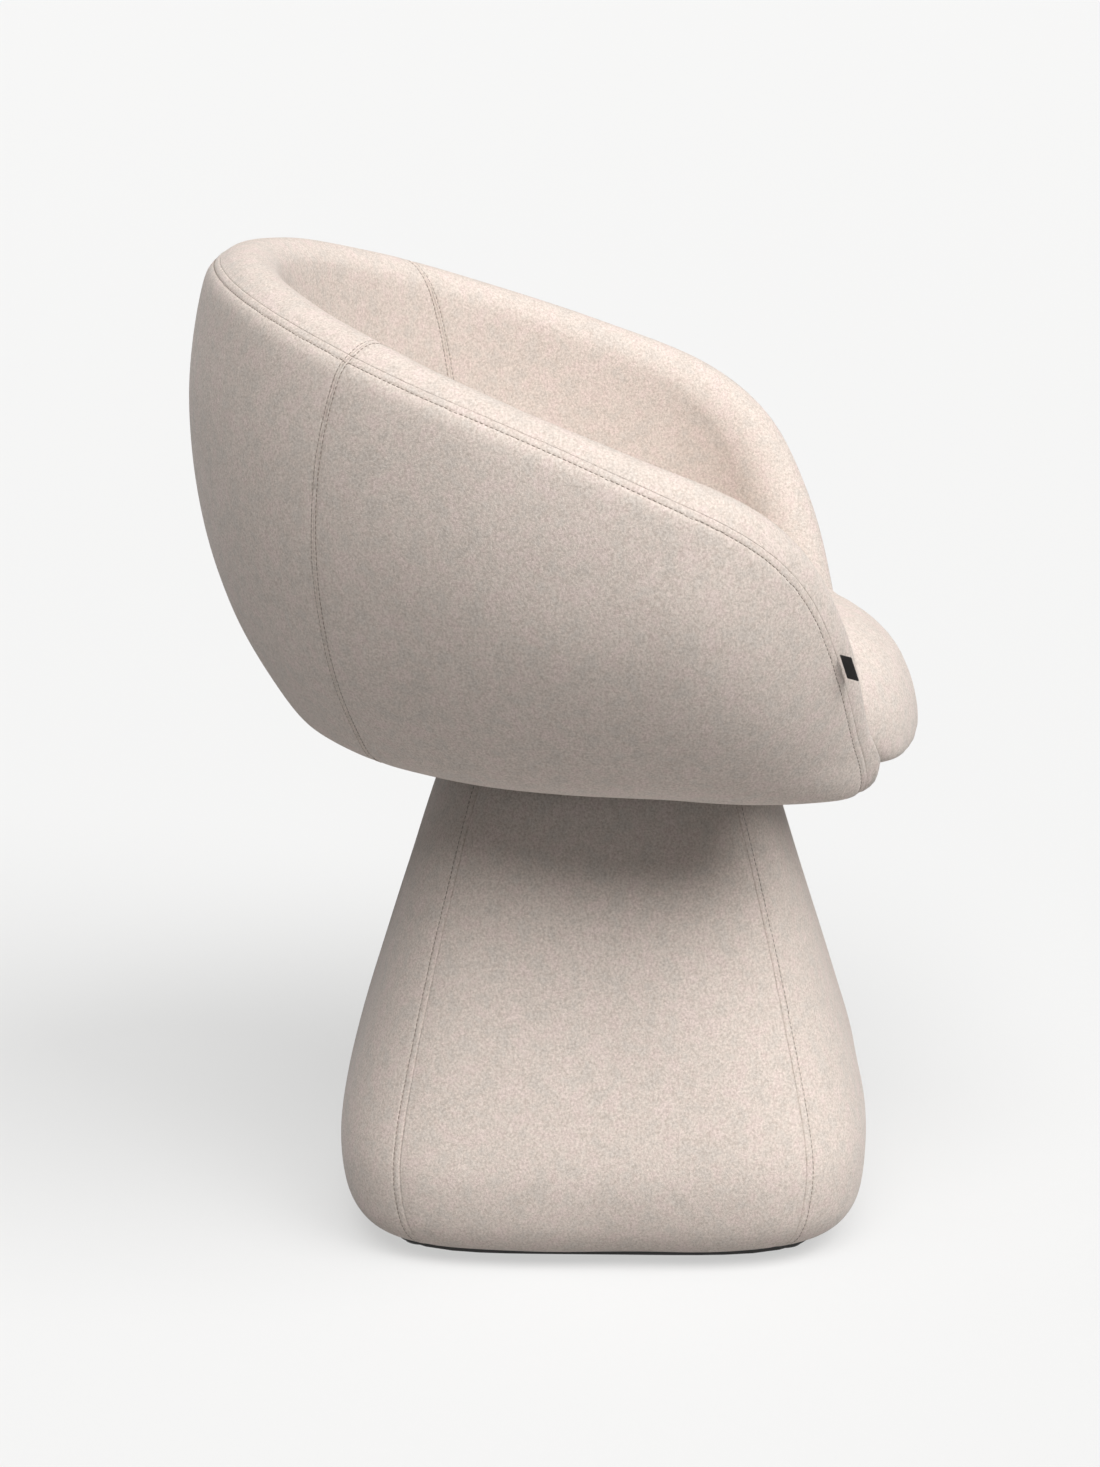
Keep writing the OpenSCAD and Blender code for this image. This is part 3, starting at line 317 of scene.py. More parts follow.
def outward_side(cover, core):
    """A cover's side that lies further from its core, without the narrow faces of the cloth's cut edge."""
    bm = node_copy(cover)
    large, small = smooth_regions(bm)[:2]
    small_points = {vert for face in small for vert in face.verts}
    if len(large) > len(small):
        large = [face for face in large if not small_points & set(face.verts)]
    core_tree = BVHTree.FromBMesh(node_copy(core))

    def mean_gap(faces):
        return sum(core_tree.find_nearest(face.calc_center_median())[3] for face in faces) / len(faces)

    kept = set(max((large, small), key=mean_gap))
    bmesh.ops.delete(bm, geom=[face for face in bm.faces if face not in kept], context="FACES")
    return bm


# %% Triangles back into quads
def square_up(bm):
    """Dissolves the diagonals of a grid, found one after the other from a corner with a single triangle."""
    corner = next(vert for vert in bm.verts if len(vert.link_faces) == 1)
    first = corner.link_faces[0]
    diagonal = {first: next(edge for edge in first.edges if corner not in edge.verts)}
    waiting = [first]
    while waiting:
        face = waiting.pop()
        cut = diagonal[face]
        for edge in face.edges:
            for other in edge.link_faces:
                if other in diagonal:
                    continue
                if edge == cut:
                    diagonal[other] = cut
                else:
                    end = next(vert for vert in edge.verts if vert not in cut.verts)
                    diagonal[other] = next(e for e in other.edges if e != edge and end in e.verts)
                waiting.append(other)
    bmesh.ops.dissolve_edges(bm, edges=list(dict.fromkeys(diagonal.values())), use_verts=False)


# %% Several covers joined at their seams
def joined_covers(covers, reach):
    """One skin of quads from covers whose edges lie within reach; the layer section holds their numbers."""
    skin = bmesh.new()
    skin.faces.layers.int.new("section")
    for index, (cover, core) in enumerate(covers):
        side = outward_side(cover, core)
        square_up(side)
        layer = side.faces.layers.int.new("section")
        for face in side.faces:
            face[layer] = index
        held = bpy.data.meshes.new("held")
        side.to_mesh(held)
        side.free()
        skin.from_mesh(held)
        bpy.data.meshes.remove(held)
    bmesh.ops.remove_doubles(skin, verts=skin.verts, dist=reach)
    # Where four covers meet, one corner can still lie a little off the three joined ones
    corner_reach = 1 * MM
    corners = [vert for vert in skin.verts if len(vert.link_faces) == 3]
    bmesh.ops.weld_verts(skin, targetmap={vert: corner for corner in corners for vert in skin.verts
        if vert != corner and (vert.co - corner.co).length < corner_reach})
    bmesh.ops.recalc_face_normals(skin, faces=skin.faces)
    return skin


def rounded(bm, levels):
    """The same skin after some levels of Subdivision Surface."""
    mesh = bpy.data.meshes.new("cage")
    bm.to_mesh(mesh)
    bm.free()
    cage = bpy.data.objects.new("cage", mesh)
    scene.collection.objects.link(cage)
    rounder = cage.modifiers.new("rounder", "SUBSURF")
    rounder.levels = rounder.render_levels = levels
    finer = bpy.data.meshes.new_from_object(cage.evaluated_get(bpy.context.evaluated_depsgraph_get()))
    bm = bmesh.new()
    bm.from_mesh(finer)
    bpy.data.objects.remove(cage)
    bpy.data.meshes.remove(mesh)
    bpy.data.meshes.remove(finer)
    return bm


wall_covers = [("outer_back_cover", "back_foam"), ("outer_left_cover", "left_foam"),
    ("outer_right_cover", "right_foam"), ("inner_back_cover", "back_foam"),
    ("inner_left_cover", "left_foam"), ("inner_right_cover", "right_foam")]
wall_skin = joined_covers(wall_covers, reach=0.5 * MM)
base_panels = [("base_front_panel", "base_core"), ("base_back_panel", "base_core"),
    ("base_left_panel", "base_core"), ("base_right_panel", "base_core")]
base_skin = joined_covers(base_panels, reach=1.2 * MM)
for name, skin in (("wall", wall_skin), ("pedestal", base_skin)):
    quads = sum(len(face.verts) == 4 for face in skin.faces)
    print(name, "cage:", len(skin.faces), "faces,", quads, "quads")

# %% [markdown]
# ## Seams
# Where two panels meet, the cloth turns in between them, which draws a fine dark line.
# Along the rim and down the pedestal one of the two panels is topstitched 6 mm from it, so that a soft ridge
# stands between the line and the stitches. The upright seams have a row 2.5 mm away on both sides.
# A crease under a millimetre wide needs faces of that size, but only beside the seams.
# So the skin is rounded twice, the edges that lead away from the seams are cut, and it is rounded once more.
# Then the points beside a seam move along their normals by an amount that depends on their distance from it.

# %% Finer faces beside the seams
def seam_edges(bm, pairs):
    """Edges between two sections, for the pairs of sections asked for."""
    layer = bm.faces.layers.int["section"]
    return [edge for edge in bm.edges if len(edge.link_faces) == 2
        and tuple(sorted(face[layer] for face in edge.link_faces)) in pairs]


def finer_beside(bm, pairs):
    """Cuts the edges that lead away from the seams into eight, on both sides."""
    # Keys of a dictionary keep their order, so every run cuts the edges in the same one
    rungs = {}
    for seam in seam_edges(bm, pairs):
        ends = set(seam.verts)
        for face in seam.link_faces:
            rungs.update(dict.fromkeys(e for e in face.edges if e != seam and ends & set(e.verts)))
    bmesh.ops.subdivide_edges(bm, edges=list(rungs), cuts=7, use_grid_fill=True)


# Sections: 0 to 2 are the wall's outside (back, left, right) and 3 to 5 its inside
outside_sections, inside_sections = {0, 1, 2}, {3, 4, 5}
rim_pairs = {(outer, inner) for outer in outside_sections for inner in inside_sections}
upright_pairs = {(0, 1), (0, 2), (3, 4), (3, 5)}
wall_skin = rounded(wall_skin, 2)
print("wall skin:", len(wall_skin.faces), "faces")

# %% [markdown]
# ## Where the seams run
# A tailor's seam does not follow the lines of the form. On the outside it drops straight where the wall
# tucks in, on the inside it leans forward, and at the arm's front it runs down 12 mm behind the edge.
# The points of the skin form a net, and they can slide within the skin without changing its form.
# So the rows of the net slide until their seam columns and seam rows lie where the photograph
# shows the seams. Last, the strips beside the seams get an even width, so that the stitched rows
# can lie straight in them.

# %% The skin's points as a net
def net_of(bm):
    """Columns of points along the wall, each from the inside's foot over the rim to the outside's hem."""
    corner = next(vert for vert in bm.verts if len(vert.link_faces) == 1)
    first = corner.link_faces[0]
    ring = list(first.verts)
    while ring[0] != corner:
        ring.append(ring.pop(0))
    place = dict(zip(ring, (Vector((0, 0)), Vector((1, 0)), Vector((1, 1)), Vector((0, 1)))))
    waiting, seen = [first], {first}
    while waiting:
        face = waiting.pop()
        for edge in face.edges:
            for other in edge.link_faces:
                if other in seen:
                    continue
                seen.add(other)
                waiting.append(other)
                for vert in edge.verts:
                    away = [e for e in vert.link_edges if e != edge]
                    behind = next(e.other_vert(vert) for e in away if face in e.link_faces)
                    beyond = next(e.other_vert(vert) for e in away if other in e.link_faces)
                    place[beyond] = 2 * place[vert] - place[behind]
    wide = 1 + round(max(spot.x for spot in place.values()))
    tall = 1 + round(max(spot.y for spot in place.values()))
    net = [[None] * tall for _ in range(wide)]
    for vert, spot in place.items():
        net[round(spot.x)][round(spot.y)] = vert
    if wide < tall:
        net = [list(column) for column in zip(*net)]
    layer = bm.faces.layers.int["section"]
    if net[0][0].link_faces[0][layer] in outside_sections:
        net = [column[::-1] for column in net]
    return net


section = wall_skin.faces.layers.int["section"]


def sections_at(vert):
    """The sections that meet at a point of the wall skin."""
    return {face[section] for face in vert.link_faces}


net = net_of(wall_skin)
middle = len(net) // 2
last_row = len(net[0]) - 1
seam_column = next(k for k in range(middle, len(net)) if len(sections_at(net[k][0])) == 2) - middle
rim_row = max(range(len(net[0])), key=lambda j: net[middle][j].co.z)
seam_row = next(j for j in range(rim_row, len(net[0])) if len(sections_at(net[middle][j])) == 2)
print("net:", len(net), "by", len(net[0]), "points, with seams", seam_column, "columns from the middle",
    "and at row", seam_row)


# %% Rows that slide so that the upright seams lean
def slide(line, moves):
    """Moves the points along the line that they form."""
    points = np.array([vert.co for vert in line])
    run = np.concatenate([[0], np.cumsum(np.linalg.norm(np.diff(points, axis=0), axis=1))])
    for vert, target in zip(line, run + moves):
        vert.co = [np.interp(target, run, points[:, axis]) for axis in range(3)]


# Outside, the seam stays behind more and more below its bend; inside, it runs ahead from the rim down
outside_lean, bend_height, bend_drop = 58 * MM, 637 * MM, 246 * MM
inside_lean, inside_top, inside_fade = 50 * MM, 742 * MM, 75 * MM


def lean_at(row):
    """How far a row's seam point moves towards the arm's front, in metres."""
    z = net[middle + seam_column][row].co.z
    if row >= seam_row:
        return -outside_lean * np.clip((bend_height - z) / bend_drop, 0, 1) ** 2
    return inside_lean * (1 - math.exp(min(0, z - inside_top) / inside_fade)) if row < rim_row else 0.0


# The move is whole at the seam's column and fades to none at the wall's middle and out on the arm
steps = np.abs(np.arange(len(net)) - middle) / seam_column
ease = np.where(steps < 1, np.sin(np.pi / 2 * steps) ** 2, np.cos(np.pi / 2 * np.minimum(steps - 1, 1)) ** 2)
ahead = np.sign(np.arange(len(net)) - middle)
for row in range(len(net[0])):
    slide([column[row] for column in net], lean_at(row) * ease * ahead)
print("upright seams lean by up to", round(max(abs(lean_at(row)) for row in range(len(net[0]))) / MM), "mm")


# %% The rim seam's way down the arm's front
def swing_seam(columns, depth):
    """Slides points up and down until the seam row runs a depth behind the front edge in the side view."""
    form = np.array([[vert.co for vert in column] for column in columns])
    lowest = last_row - 3
    side_view = form[:, rim_row:, 1:].reshape(-1, 2)
    outline = side_view[geometry.convex_hull_2d([Vector(spot) for spot in side_view])]
    span = np.roll(outline, -1, axis=0) - outline
    size = np.linalg.norm(span, axis=1)
    # The parts of the outline that lead clearly down are the arm's front edge
    front = span[:, 1] < -0.3 * size
    start, span, squared = outline[front], span[front], size[front] ** 2

    def gap(point):
        share = np.clip(((point[1:] - start) * span).sum(1) / squared, 0, 1)
        return np.sqrt(((point[1:] - start - share[:, None] * span) ** 2).sum(1)).min()

    seam = []
    for points in form:
        gaps = [gap(point) for point in points]
        far = next((j for j in range(seam_row, last_row) if gaps[j] >= depth), lowest)
        between = far not in (seam_row, lowest)
        seam.append(far - (gaps[far] - depth) / (gaps[far] - gaps[far - 1]) if between else far)
    for _ in range(3):
        seam = [seam[0]] + [(a + 2 * b + c) / 4 for a, b, c in zip(seam, seam[1:], seam[2:])] + [seam[-1]]
    rows = np.arange(last_row + 1)
    for column, points, row in zip(columns, form, seam):
        targets = np.interp(rows, (0, rim_row, seam_row, last_row), (0, rim_row, row, last_row))
        for vert, target in zip(column, targets):
            vert.co = [np.interp(target, rows, points[:, axis]) for axis in range(3)]
    return seam


def corner_share(point, top, height, front, depth):
    """The share of a move that a point gets: none above the top or behind the front, growing to all of it."""
    return float(np.clip((top - point.z) / height, 0, 1) * np.clip((front - point.y) / depth, 0, 1))


# The padding fills the lower corner of each arm's front, so the points there move forwards and down
arm_corner = {"top": 424 * MM, "height": 30 * MM, "front": -125 * MM, "depth": 45 * MM}
arm_fill = Vector((0, -6 * MM, -2 * MM))
for column in net:
    for vert in column[rim_row:]:
        vert.co += arm_fill * corner_share(vert.co, **arm_corner)

arm_seam_depth = 12 * MM
turn_column = middle + 2 * seam_column
for arm in (net[turn_column:], net[len(net) - turn_column - 1::-1]):
    lowered = swing_seam(arm, arm_seam_depth)
    print("the seam's row along the arm's front:", [round(row) for row in lowered[::4]])

# %% Strips of an even width beside the seams
def even_strip(line, seam, width):
    """Slides the points of a line until those next to its seam point lie a width from it; the ends stay."""
    steps = [(b.co - a.co).length for a, b in zip(line, line[1:])]
    run = np.concatenate([[0], np.cumsum(steps)]) - sum(steps[:seam])
    moves = np.zeros(len(line))
    for side in (slice(seam + 1, None), slice(seam - 1, None, -1)):
        gaps = run[side]
        # A line that ends close to the seam gives the strip 0.4 of its length
        wide = np.sign(gaps[-1]) * min(width, 0.4 * abs(gaps[-1]))
        moves[side] = wide + (gaps - gaps[0]) * (gaps[-1] - wide) / (gaps[-1] - gaps[0]) - gaps
    slide(line, moves)


rim_strip, upright_strip = 9 * MM, 8 * MM
for column in net:
    even_strip(column, seam_row, rim_strip)
for row in range(len(net[0])):
    around = outside_sections if row >= seam_row else inside_sections
    seam = next(k for k in range(middle, len(net)) if len(sections_at(net[k][row]) & around) == 2) - middle
    for half in (net[middle:], net[middle::-1]):
        even_strip([column[row] for column in half], seam, upright_strip)
widths = [(column[seam_row + 1].co - column[seam_row].co).length / MM for column in net]
print("strip beside the rim seam:", round(min(widths), 1), "to", round(max(widths), 1), "mm")

# %% Finer faces along all the seams
finer_beside(wall_skin, upright_pairs)
finer_beside(wall_skin, rim_pairs)
wall_skin = rounded(wall_skin, 1)
# Sections of the pedestal: 0 front, 1 back, 2 left, 3 right
base_pairs = {(0, 2), (0, 3), (1, 2), (1, 3)}
base_skin = rounded(base_skin, 2)
finer_beside(base_skin, base_pairs)
base_skin = rounded(base_skin, 1)
print("wall skin:", len(wall_skin.faces), "faces; pedestal skin:", len(base_skin.faces))


# %% Chains of seam points
def chains(edges):
    """The seam edges as runs of points in order."""
    left, found = dict.fromkeys(edges), []
    while left:
        edge = next(iter(left))
        del left[edge]
        run = list(edge.verts)
        for end in (0, -1):
            while True:
                tip = run[end]
                step = next((e for e in tip.link_edges if e in left), None)
                if step is None:
                    break
                del left[step]
                run.insert(0 if end == 0 else len(run), step.other_vert(tip))
        found.append([vert.co.copy() for vert in run])
    return found


def points_along(run, pitch):
    """Points and directions at an even pitch along a run."""
    found, ahead = [], 0.5 * pitch
    for here, there in zip(run, run[1:]):
        span = there - here
        while ahead <= span.length:
            found.append((here + span * (ahead / span.length), span.normalized()))
            ahead += pitch
        ahead -= span.length
    return found


# %% The sewn relief
# All in millimetres: the widths of the crease, of the hollow that it lies in and of the thread's groove,
# and how high and how wide the cloth puckers with a stitched row and without one
crease_width, hollow_width, hollow_depth, groove_width = 0.7, 8, 0.35, 0.8
pucker_height, pucker_width, plain_pucker_height, plain_pucker_width = 0.22, 7, 0.25, 6
relief_reach = 34


def bell(gap, width):
    """1 at no gap, falling softly to about a third at the width."""
    return math.exp(-(gap / width) ** 2)


def sewn(bm, pairs, stitched, row, crease, pull):
    """Presses a crease along these seams, and a row that the thread pulls in on the stitched sections."""
    runs = chains(seam_edges(bm, pairs))
    beads = [point for run in runs for point, _ in points_along(run, 0.5 * MM)]
    tree = KDTree(len(beads))
    for index, point in enumerate(beads):
        tree.insert(point, index)
    tree.balance()
    layer = bm.faces.layers.int["section"]
    bm.normal_update()
    moves = []
    for vert in bm.verts:
        gap = tree.find(vert.co)[2] / MM
        if gap > relief_reach:
            continue
        sections = {face[layer] for face in vert.link_faces}
        move = -crease * bell(gap, crease_width) - hollow_depth * bell(gap, hollow_width)
        if sections & stitched and len(sections) == 1:
            ridge = math.sin(math.pi * min(1.0, gap / (0.93 * row)))
            pucker = noise.noise(vert.co / (7 * MM)) * bell(gap - row, pucker_width)
            move += 0.6 * pull * ridge - pull * bell(gap - row, groove_width) + pucker_height * pucker
        else:
            move += plain_pucker_height * noise.noise(vert.co / (8 * MM)) * bell(gap, plain_pucker_width)
        moves.append((vert, vert.normal * (move * MM)))
    for vert, move in moves:
        vert.co += move
    return runs


rim_row_mm, upright_row_mm, base_row_mm = 6.0, 2.5, 6.0
all_sections = outside_sections | inside_sections
wall_rim_runs = sewn(wall_skin, rim_pairs, outside_sections, rim_row_mm, crease=0.4, pull=0.4)
wall_upright_runs = sewn(wall_skin, upright_pairs, all_sections, upright_row_mm, crease=0.35, pull=0.4)
base_runs = sewn(base_skin, base_pairs, {0, 1}, base_row_mm, crease=0.6, pull=0.5)
print("seams:", len(wall_rim_runs), "on the rim,", len(wall_upright_runs), "upright,",
    len(base_runs), "on the pedestal")


# %% [markdown]
# ## Soft unevenness
# Hand-pulled cloth over foam is never quite even: it lies in very low hollows and swells
# a hand's width apart. A slow noise of about a millimetre gives the light something to play on
# without looking like dents.

# %% Soft unevenness
def uneven(bm, height, width, shift):
    """Moves all points by a slow noise; the shift takes each skin to another part of it."""
    bm.normal_update()
    for vert in bm.verts:
        vert.co += vert.normal * (height * noise.noise(vert.co / width + Vector((shift, 0, 0))))


uneven(wall_skin, height=1.1 * MM, width=75 * MM, shift=3.0)
uneven(base_skin, height=0.9 * MM, width=70 * MM, shift=9.0)
print("padding moved by up to a millimetre")


# %% [markdown]
# ## One piece for each panel
# Each panel becomes its own piece again, so that it can be named and taken apart.
# A Solidify modifier gives the cloth its 1.5 mm on the inward side.

# %% Pieces from the skin
cloth_thickness = 1.5 * MM


def panels(bm, covers, body):
    """One piece for each cover, cut out of the skin."""
    made = []
    for index, (cover, _) in enumerate(covers):
        part = bm.copy()
        layer = part.faces.layers.int["section"]
        bmesh.ops.delete(part, geom=[face for face in part.faces if face[layer] != index], context="FACES")
        mesh = bpy.data.meshes.new(cover + "_cloth")
        part.to_mesh(mesh)
        part.free()
        mesh.polygons.foreach_set("use_smooth", [True] * len(mesh.polygons))
        mesh.materials.append(wool)
        piece = bpy.data.objects.new(cover + "_cloth", mesh)
        scene.collection.objects.link(piece)
        cloth = piece.modifiers.new("cloth", "SOLIDIFY")
        cloth.thickness = cloth_thickness
        cloth.offset = -1
        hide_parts(cover)
        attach(piece, body)
        made.append(piece)
    return made


wall_pieces = panels(wall_skin, wall_covers, "seat")
for piece, core in zip(wall_pieces, ("back_foam", "left_foam", "right_foam")):
    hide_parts(core)
base_pieces = panels(base_skin, base_panels, "base")
print("panels:", ", ".join(piece.name for piece in wall_pieces + base_pieces))


# %% [markdown]
# ## Topstitching
# The stitches are about 3 mm long with a millimetre between them, and each lies a little sunk in the cloth.
# One small rounded shape is placed again and again along each row, as far beside the seam as its groove.
# The nearest point of the skin tells where the cloth is and which way it faces.

# %% Stitches
stitch = bmesh.new()
bmesh.ops.create_uvsphere(stitch, u_segments=6, v_segments=5, radius=1,
    matrix=Matrix.Rotation(math.pi / 2, 4, "Y"))
stitch_shape = bpy.data.meshes.new("stitch")
stitch.to_mesh(stitch_shape)
stitch.free()
# Half the length, width and height of a stitch, the pitch of a row, and how far the middle of a stitch
# lies above the bottom of its groove
stitch_size = Matrix.Diagonal((1.6 * MM, 0.42 * MM, 0.36 * MM, 1))
stitch_pitch = 4.1 * MM
stitch_lift = 0.1 * MM


def copies(name, shape, places, material, body):
    """One piece from copies of a small shape."""
    bm = bmesh.new()
    points = [vert.co.copy() for vert in shape.vertices]
    for place in places:
        for vert, origin in zip(shape.vertices, points):
            vert.co = place @ origin
        bm.from_mesh(shape)
    for vert, origin in zip(shape.vertices, points):
        vert.co = origin
    mesh = bpy.data.meshes.new(name)
    bm.to_mesh(mesh)
    bm.free()
    mesh.polygons.foreach_set("use_smooth", [True] * len(mesh.polygons))
    mesh.materials.append(material)
    piece = bpy.data.objects.new(name, mesh)
    scene.collection.objects.link(piece)
    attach(piece, body)
    print(name + ":", len(places), "copies")


def stitches(name, skin, runs, stitched, row, body):
    """Stitches along the runs, some mm off the seam on each side where a stitched section lies."""
    tree = BVHTree.FromBMesh(skin)
    skin.faces.ensure_lookup_table()
    layer = skin.faces.layers.int["section"]
    places = []
    for run in runs:
        for point, course in points_along(run, stitch_pitch):
            normal = sum((near[1] for near in tree.find_nearest_range(point, row * MM)), Vector())
            for side in (1, -1):
                aside = point + side * row * MM * normal.cross(course).normalized()
                place, facing, index, _ = tree.find_nearest(aside)
                if skin.faces[index][layer] not in stitched:
                    continue
                across = facing.cross(course).normalized()
                turn = Matrix((across.cross(facing), across, facing)).transposed().to_4x4()
                places.append(Matrix.Translation(place + facing * stitch_lift) @ turn @ stitch_size)
    copies(name, stitch_shape, places, thread, body)


stitches("rim_stitching", wall_skin, wall_rim_runs, outside_sections, rim_row_mm, "seat")
stitches("upright_stitching", wall_skin, wall_upright_runs, all_sections, upright_row_mm, "seat")
stitches("pedestal_stitching", base_skin, base_runs, {0, 1}, base_row_mm, "base")

# %% [markdown]
# ## The seat cushion
# The cushion is a block of foam in a tight cloth cover, crowned in the middle and rolled over at the front.
# It starts as the CAD cushion's skin, a little smaller, remeshed into even faces.
# Then Cloth blows it up from inside, as foam pushes its cover out, and the move of each point is capped.

# %% Cushion, blown up by Cloth
cushion_bm = node_copy("seat_cover")
regions = smooth_regions(cushion_bm)
foam_tree = BVHTree.FromBMesh(node_copy("seat_foam"))
outside = max(regions[:2], key=lambda faces: sum(
    foam_tree.find_nearest(face.calc_center_median())[3] for face in faces) / len(faces))
kept = set(outside)
bmesh.ops.delete(cushion_bm, geom=[face for face in cushion_bm.faces if face not in kept], context="FACES")
bmesh.ops.holes_fill(cushion_bm, edges=cushion_bm.edges, sides=0)
bmesh.ops.recalc_face_normals(cushion_bm, faces=cushion_bm.faces)
cushion_bm = rounded(cushion_bm, 1)
cushion_mesh = bpy.data.meshes.new("seat_cushion_cloth")
cushion_bm.to_mesh(cushion_mesh)
cushion_bm.free()
cushion = bpy.data.objects.new("seat_cushion_cloth", cushion_mesh)
scene.collection.objects.link(cushion)


def baked(piece):
    """Puts a piece's modifiers into its mesh."""
    bpy.context.view_layer.update()
    mesh = bpy.data.meshes.new_from_object(piece.evaluated_get(bpy.context.evaluated_depsgraph_get()))
    old = piece.data
    piece.modifiers.clear()
    piece.data = mesh
    bpy.data.meshes.remove(old)


# The lower front sags a little further than the CAD cushion
cushion_grain, shrink_mm = 5 * MM, 2.5
cushion_corner = {"top": 455 * MM, "height": 50 * MM, "front": -160 * MM, "depth": 50 * MM}
cushion_sag = Vector((0, -2 * MM, -10 * MM))
remesh = cushion.modifiers.new("even", "REMESH")
remesh.mode = "VOXEL"
remesh.voxel_size = cushion_grain
baked(cushion)
bm = bmesh.new()
bm.from_mesh(cushion.data)
bm.normal_update()
for vert in bm.verts:
    vert.co -= vert.normal * shrink_mm * MM
    vert.co += cushion_sag * corner_share(vert.co, **cushion_corner)
for _ in range(3):
    bmesh.ops.smooth_vert(bm, verts=bm.verts, factor=0.5, use_axis_x=True, use_axis_y=True, use_axis_z=True)
bm.to_mesh(cushion.data)
bm.free()
print("cushion:", len(cushion.data.vertices), "points")

# %% The simulation itself, with the cap on each move
move_cap, puff_frames = 4.5 * MM, 20
start = [vert.co.copy() for vert in cushion.data.vertices]
puff = cushion.modifiers.new("puff", "CLOTH")
puff.settings.quality = 6
puff.settings.mass = 0.3
puff.settings.tension_stiffness = 25
puff.settings.compression_stiffness = 25
puff.settings.bending_stiffness = 4
puff.settings.use_pressure = True
puff.settings.uniform_pressure_force = 4
puff.settings.effector_weights.gravity = 0
for number in range(1, puff_frames + 1):
    scene.frame_set(number)
baked(cushion)
scene.frame_set(1)
moved = 0.0
for vert, origin in zip(cushion.data.vertices, start):
    move = vert.co - origin
    moved = max(moved, move.length)
    if move.length > move_cap:
        vert.co = origin + move.normalized() * move_cap
print("the cover moved by up to", round(moved / MM, 1), "mm before the cap")

# %% Finish of the cushion
smooth = cushion.modifiers.new("smooth", "SUBSURF")
smooth.levels = smooth.render_levels = 1
cushion.data.polygons.foreach_set("use_smooth", [True] * len(cushion.data.polygons))
cushion.data.materials.clear()
cushion.data.materials.append(wool)
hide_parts("seat_cover", "seat_foam")
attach(cushion, "seat")
print("cushion finished")

# %% [markdown]
# ## The tab in the seam
# A folded piece of black ribbon is caught in the near arm's seam and stands out from it.
# It starts as the CAD tab, grows along the seam to the real one's length, and its edges are softened,
# because a folded ribbon has round edges. Its ribs are half a millimetre wide, drawn at 0.8 mm
# so that they show.

# %% Ribbon and tab
ribbon, tree, shader, place = start_material("black_woven_ribbon", 0.75)
ribs = add_node(tree, "TexWave", {"bands_direction": "Z"}, {"Vector": place, "Scale": 390, "Distortion": 0.4})
rib_shade = add_node(tree, "ValToRGB", {}, {"Fac": ribs.outputs["Fac"]},
    [(0.0, colour("#0C0C0D")), (1.0, colour("#1F1E20"))])
tree.links.new(rib_shade.outputs["Color"], shader.inputs["Base Color"])
rib_bump = add_node(tree, "Bump", {}, {"Height": ribs.outputs["Fac"], "Strength": 0.5, "Distance": 0.3 * MM})
tree.links.new(rib_bump.outputs["Normal"], shader.inputs["Normal"])

tab_length, tab_drop = 24 * MM, 3 * MM
tab_bm = node_copy("label_tab")
bmesh.ops.dissolve_limit(tab_bm, angle_limit=math.radians(5), verts=tab_bm.verts, edges=tab_bm.edges)
longest = max(tab_bm.edges, key=lambda edge: edge.calc_length())
along = (longest.verts[1].co - longest.verts[0].co).normalized()
along *= -math.copysign(1, along.z)
tab_middle = sum((vert.co for vert in tab_bm.verts), Vector()) / len(tab_bm.verts)
tab_growth = tab_length / longest.calc_length()
for vert in tab_bm.verts:
    vert.co += along * ((vert.co - tab_middle).dot(along) * (tab_growth - 1) + tab_drop)
bmesh.ops.bevel(tab_bm, geom=tab_bm.edges, offset=0.3 * MM, affect="EDGES", segments=2, profile=0.5,
    material=-1)
tab_mesh = bpy.data.meshes.new("woven_tab")
tab_bm.to_mesh(tab_mesh)
tab_bm.free()
tab_mesh.materials.append(ribbon)
tab = bpy.data.objects.new("woven_tab", tab_mesh)
scene.collection.objects.link(tab)
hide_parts("label_tab")
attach(tab, "seat")
print("tab:", round(tab_length / MM), "mm long, grown", round(tab_growth, 2), "times")

# %% [markdown]
# ## The dust cloth
# Under the seat a thin black spunbonded cloth is stretched over the board and stapled along its edge,
# with its cut edge turned under. Between the staples it hangs a little, so its face is very slightly wavy.
# The CAD cover's lower side gives the outline, and an inset cuts a flat border as wide as the turned edge.

# %% Dust cloth
# The cloth's thickness is added on its lower side, so that side first goes up by a little more
turned_edge, dust_thickness, dust_lift = 9 * MM, 0.4 * MM, 0.5 * MM
sag_height, sag_width = 0.35 * MM, 38 * MM
dust_bm = node_copy("underside_cover")
dust_bm.normal_update()
bmesh.ops.delete(dust_bm, geom=[face for face in dust_bm.faces if face.normal.z > -0.9], context="FACES")
edge_loop = max(chains([edge for edge in dust_bm.edges if edge.is_boundary]), key=len)
flat_area = sum(face.calc_area() for face in dust_bm.faces)
bmesh.ops.inset_region(dust_bm, faces=dust_bm.faces, thickness=turned_edge, depth=0.0, use_even_offset=True)
bmesh.ops.subdivide_edges(dust_bm, edges=dust_bm.edges, cuts=3, use_grid_fill=True)
bmesh.ops.triangulate(dust_bm, faces=dust_bm.faces)
for vert in dust_bm.verts:
    vert.co.z += dust_lift + sag_height * noise.noise(vert.co / sag_width)
dust_mesh = bpy.data.meshes.new("dust_cloth")
dust_bm.to_mesh(dust_mesh)
dust_bm.free()
dust_mesh.polygons.foreach_set("use_smooth", [True] * len(dust_mesh.polygons))
dust_mesh.materials.append(black_cloth)
dust_cloth = bpy.data.objects.new("dust_cloth", dust_mesh)
scene.collection.objects.link(dust_cloth)
weft = dust_cloth.modifiers.new("thickness", "SOLIDIFY")
weft.thickness = dust_thickness
weft.offset = 1
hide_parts("underside_cover")
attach(dust_cloth, "seat")

